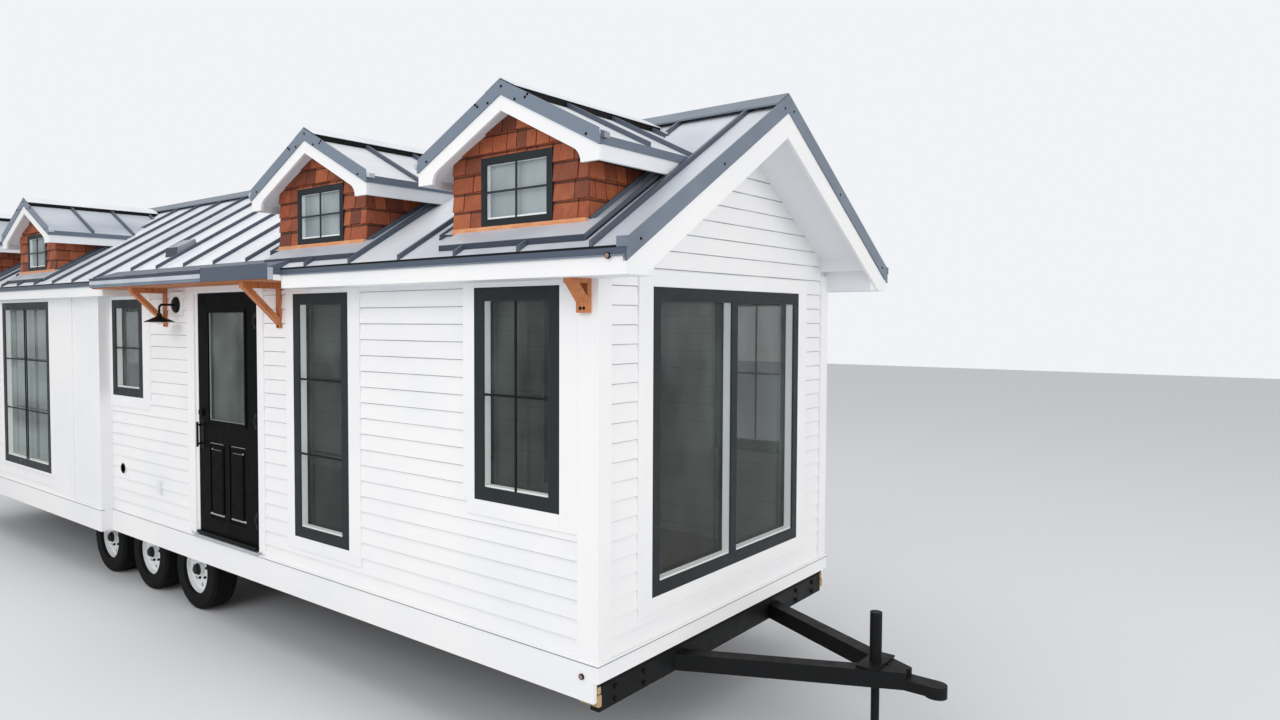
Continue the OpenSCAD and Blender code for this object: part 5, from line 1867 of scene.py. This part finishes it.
@dataclass
class RunningGear(Assembly):
    """Hub caps, lug nuts and the trailer's bolts and blocking."""

    lugs: int = 6
    lug_radius: float = 0.095
    rows: tuple[str, ...] = ("front", "back")
    places: tuple[str, ...] = ("near", "mid", "far")

    def hub(self, name: str) -> None:
        """Builds the hub cap and the lug nuts of one wheel.

        Args:
            name: The wheel's name, without its last word.
        """
        low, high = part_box(name + "_rim")
        x, z = (low[0] + high[0]) / 2, (low[2] + high[2]) / 2
        sign = -1 if name.startswith("front") else 1
        outer = low[1] if sign < 0 else high[1]
        tilt = (-sign * 90, 0, 0)
        cap = Bench.turned(((0.053, 0), (0.053, 0.006), (0.044, 0.012), (0.04, 0.03), (0.03, 0.037)), 32,
                           (x, outer, z), tilt)
        nut = Bench.turned(((0.013, 0), (0.013, 0.012), (0.009, 0.02)), 6, (0, outer - sign * 0.04, 0), tilt)
        angles = [math.tau * number / self.lugs + 0.2 for number in range(self.lugs)]
        spots = [(x + math.cos(angle) * self.lug_radius, 0, z + math.sin(angle) * self.lug_radius)
                 for angle in angles]
        body = name + "_wheel"
        Bench.finish(cap, name + "_hub_cap", self.palette.hub, Slot.BLACK, body, smooth=True)
        Bench.finish(Bench.at_each(nut, spots), name + "_lug_nuts", self.palette.hub, Slot.BLACK, body)

    def chassis(self) -> None:
        """Adds the raw blocking behind the skirt's ends and bolts on the end beam."""
        end = self.shell.end
        blocks = []
        for side in SIDES:
            y = side * (self.shell.entry - 0.016)
            blocks += [Bench.block((end - 0.12, y - 0.016, 0.505), (end + 0.012, y + 0.014, 0.568), 0.002),
                       Bench.block((end - 0.12, y - 0.013, 0.573), (end + 0.008, y + 0.014, 0.612), 0.004)]
        Bench.finish(blocks, "corner_blocking", self.palette.timber, Slot.TIMBER)
        bolt = Bench.turned(((0.016, 0), (0.016, 0.008), (0.012, 0.014)), 6, tilt=TO_HITCH)
        spots = [(end, side * y, z) for side in SIDES for y in (1.28, 1.0, 0.62) for z in (0.50, 0.57)]
        Bench.finish(Bench.at_each(bolt, spots), "end_beam_bolts", self.palette.steel_paint, Slot.CHASSIS)

    def build(self) -> None:
        """Builds the wheels' and the chassis' small pieces."""
        for row in self.rows:
            for place in self.places:
                self.hub(f"{row}_{place}")
        self.chassis()


# Studio


@dataclass
class Studio:
    """A pale floor, soft light and the camera at the photograph's angle."""

    eye: tuple[float, float, float] = (7.905, -5.165, 2.596)
    tilt: float = 87.88
    turn: float = 41.29
    lens: float = 24.69
    shift_x: float = 0.0809
    shift_y: float = -0.00625
    backdrop: str = "#F1F3F6"
    skylight: float = 0.72
    aim: tuple[float, float, float] = (1.0, 0.0, 1.6)

    def world(self) -> None:
        """Lights the house from all round, and shows a pale backdrop."""
        world = bpy.data.worlds.new("soft_sky")
        bpy.context.scene.world = world
        world.use_nodes = True
        tree = world.node_tree
        tree.nodes.clear()
        rays = add_node(tree, "LightPath", {}).outputs
        seen = add_node(tree, "Math", {
            "operation": "MAXIMUM", 0: rays["Is Camera Ray"], 1: rays["Is Transmission Ray"]})
        light = add_node(tree, "Background", {"Color": "#FFFFFF", "Strength": self.skylight})
        shown = add_node(tree, "Background", {"Color": self.backdrop, "Strength": 1.0})
        mix = add_node(tree, "MixShader", {0: seen.outputs[0], 1: light.outputs[0], 2: shown.outputs[0]})
        add_node(tree, "OutputWorld", {"Surface": mix.outputs[0]})

    def floor(self) -> None:
        """Lays the pale floor."""
        Bench.clear()
        bpy.ops.mesh.primitive_plane_add(size=90, location=ORIGIN)
        floor = bpy.context.object
        floor.name = "studio_floor"
        floor.data.materials.append(Finish("pale_studio_floor", "#DADCDF", 0.85).make())

    def lamp(self, name: str, place: Place, size: float, power: float) -> None:
        """Adds a soft lamp that points at the middle of the house.

        Args:
            name: Its name.
            place: Where it stands.
            size: Its width.
            power: Its power in watts.
        """
        data = bpy.data.lights.new(name, "AREA")
        data.size = size
        data.energy = power
        lamp = bpy.data.objects.new(name, data)
        bpy.context.collection.objects.link(lamp)
        lamp.location = place
        way = Vector(self.aim) - Vector(place)
        lamp.rotation_euler = way.to_track_quat("-Z", "Y").to_euler()

    def camera(self) -> None:
        """Places the camera where the photograph was taken."""
        data = bpy.data.cameras.new("photo_view")
        data.lens = self.lens
        data.shift_x = self.shift_x
        data.shift_y = self.shift_y
        data.clip_end = 200
        camera = bpy.data.objects.new("photo_view", data)
        bpy.context.collection.objects.link(camera)
        camera.location = self.eye
        camera.rotation_euler = (math.radians(self.tilt), 0, math.radians(self.turn))
        bpy.context.scene.camera = camera

    def build(self) -> None:
        """Builds the studio."""
        bpy.context.scene.view_settings.view_transform = "Standard"
        self.world()
        self.floor()
        self.lamp("key_light", (4.0, -14.0, 8.0), 9.0, 620)
        self.lamp("end_light", (18.0, -2.0, 5.0), 8.0, 520)
        self.lamp("overhead_light", (0.0, -2.0, 16.0), 14.0, 700)
        self.camera()


DORMERS = (("near_outer_dormer", 4.528), ("near_inner_dormer", 2.652), ("far_inner_dormer", -2.652),
           ("far_outer_dormer", -4.528))


def main() -> None:
    """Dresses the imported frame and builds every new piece."""
    logging.basicConfig(level=logging.INFO, format="%(name)s %(message)s")
    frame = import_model()
    palette = Palette()
    palette.dress_frame(frame["nodes"])
    shell = Shell.read()
    Studio().build()
    Cladding(shell, palette).build()
    Glazing(shell, palette).build()
    for number, (name, x) in enumerate(DORMERS):
        Dormer(shell, palette, name, x, SHINGLE_SEED + number).build()
    for assembly in (RoofEdges, Entry, Fittings, RunningGear):
        assembly(shell, palette).build()


if __name__ == "__main__":
    main()
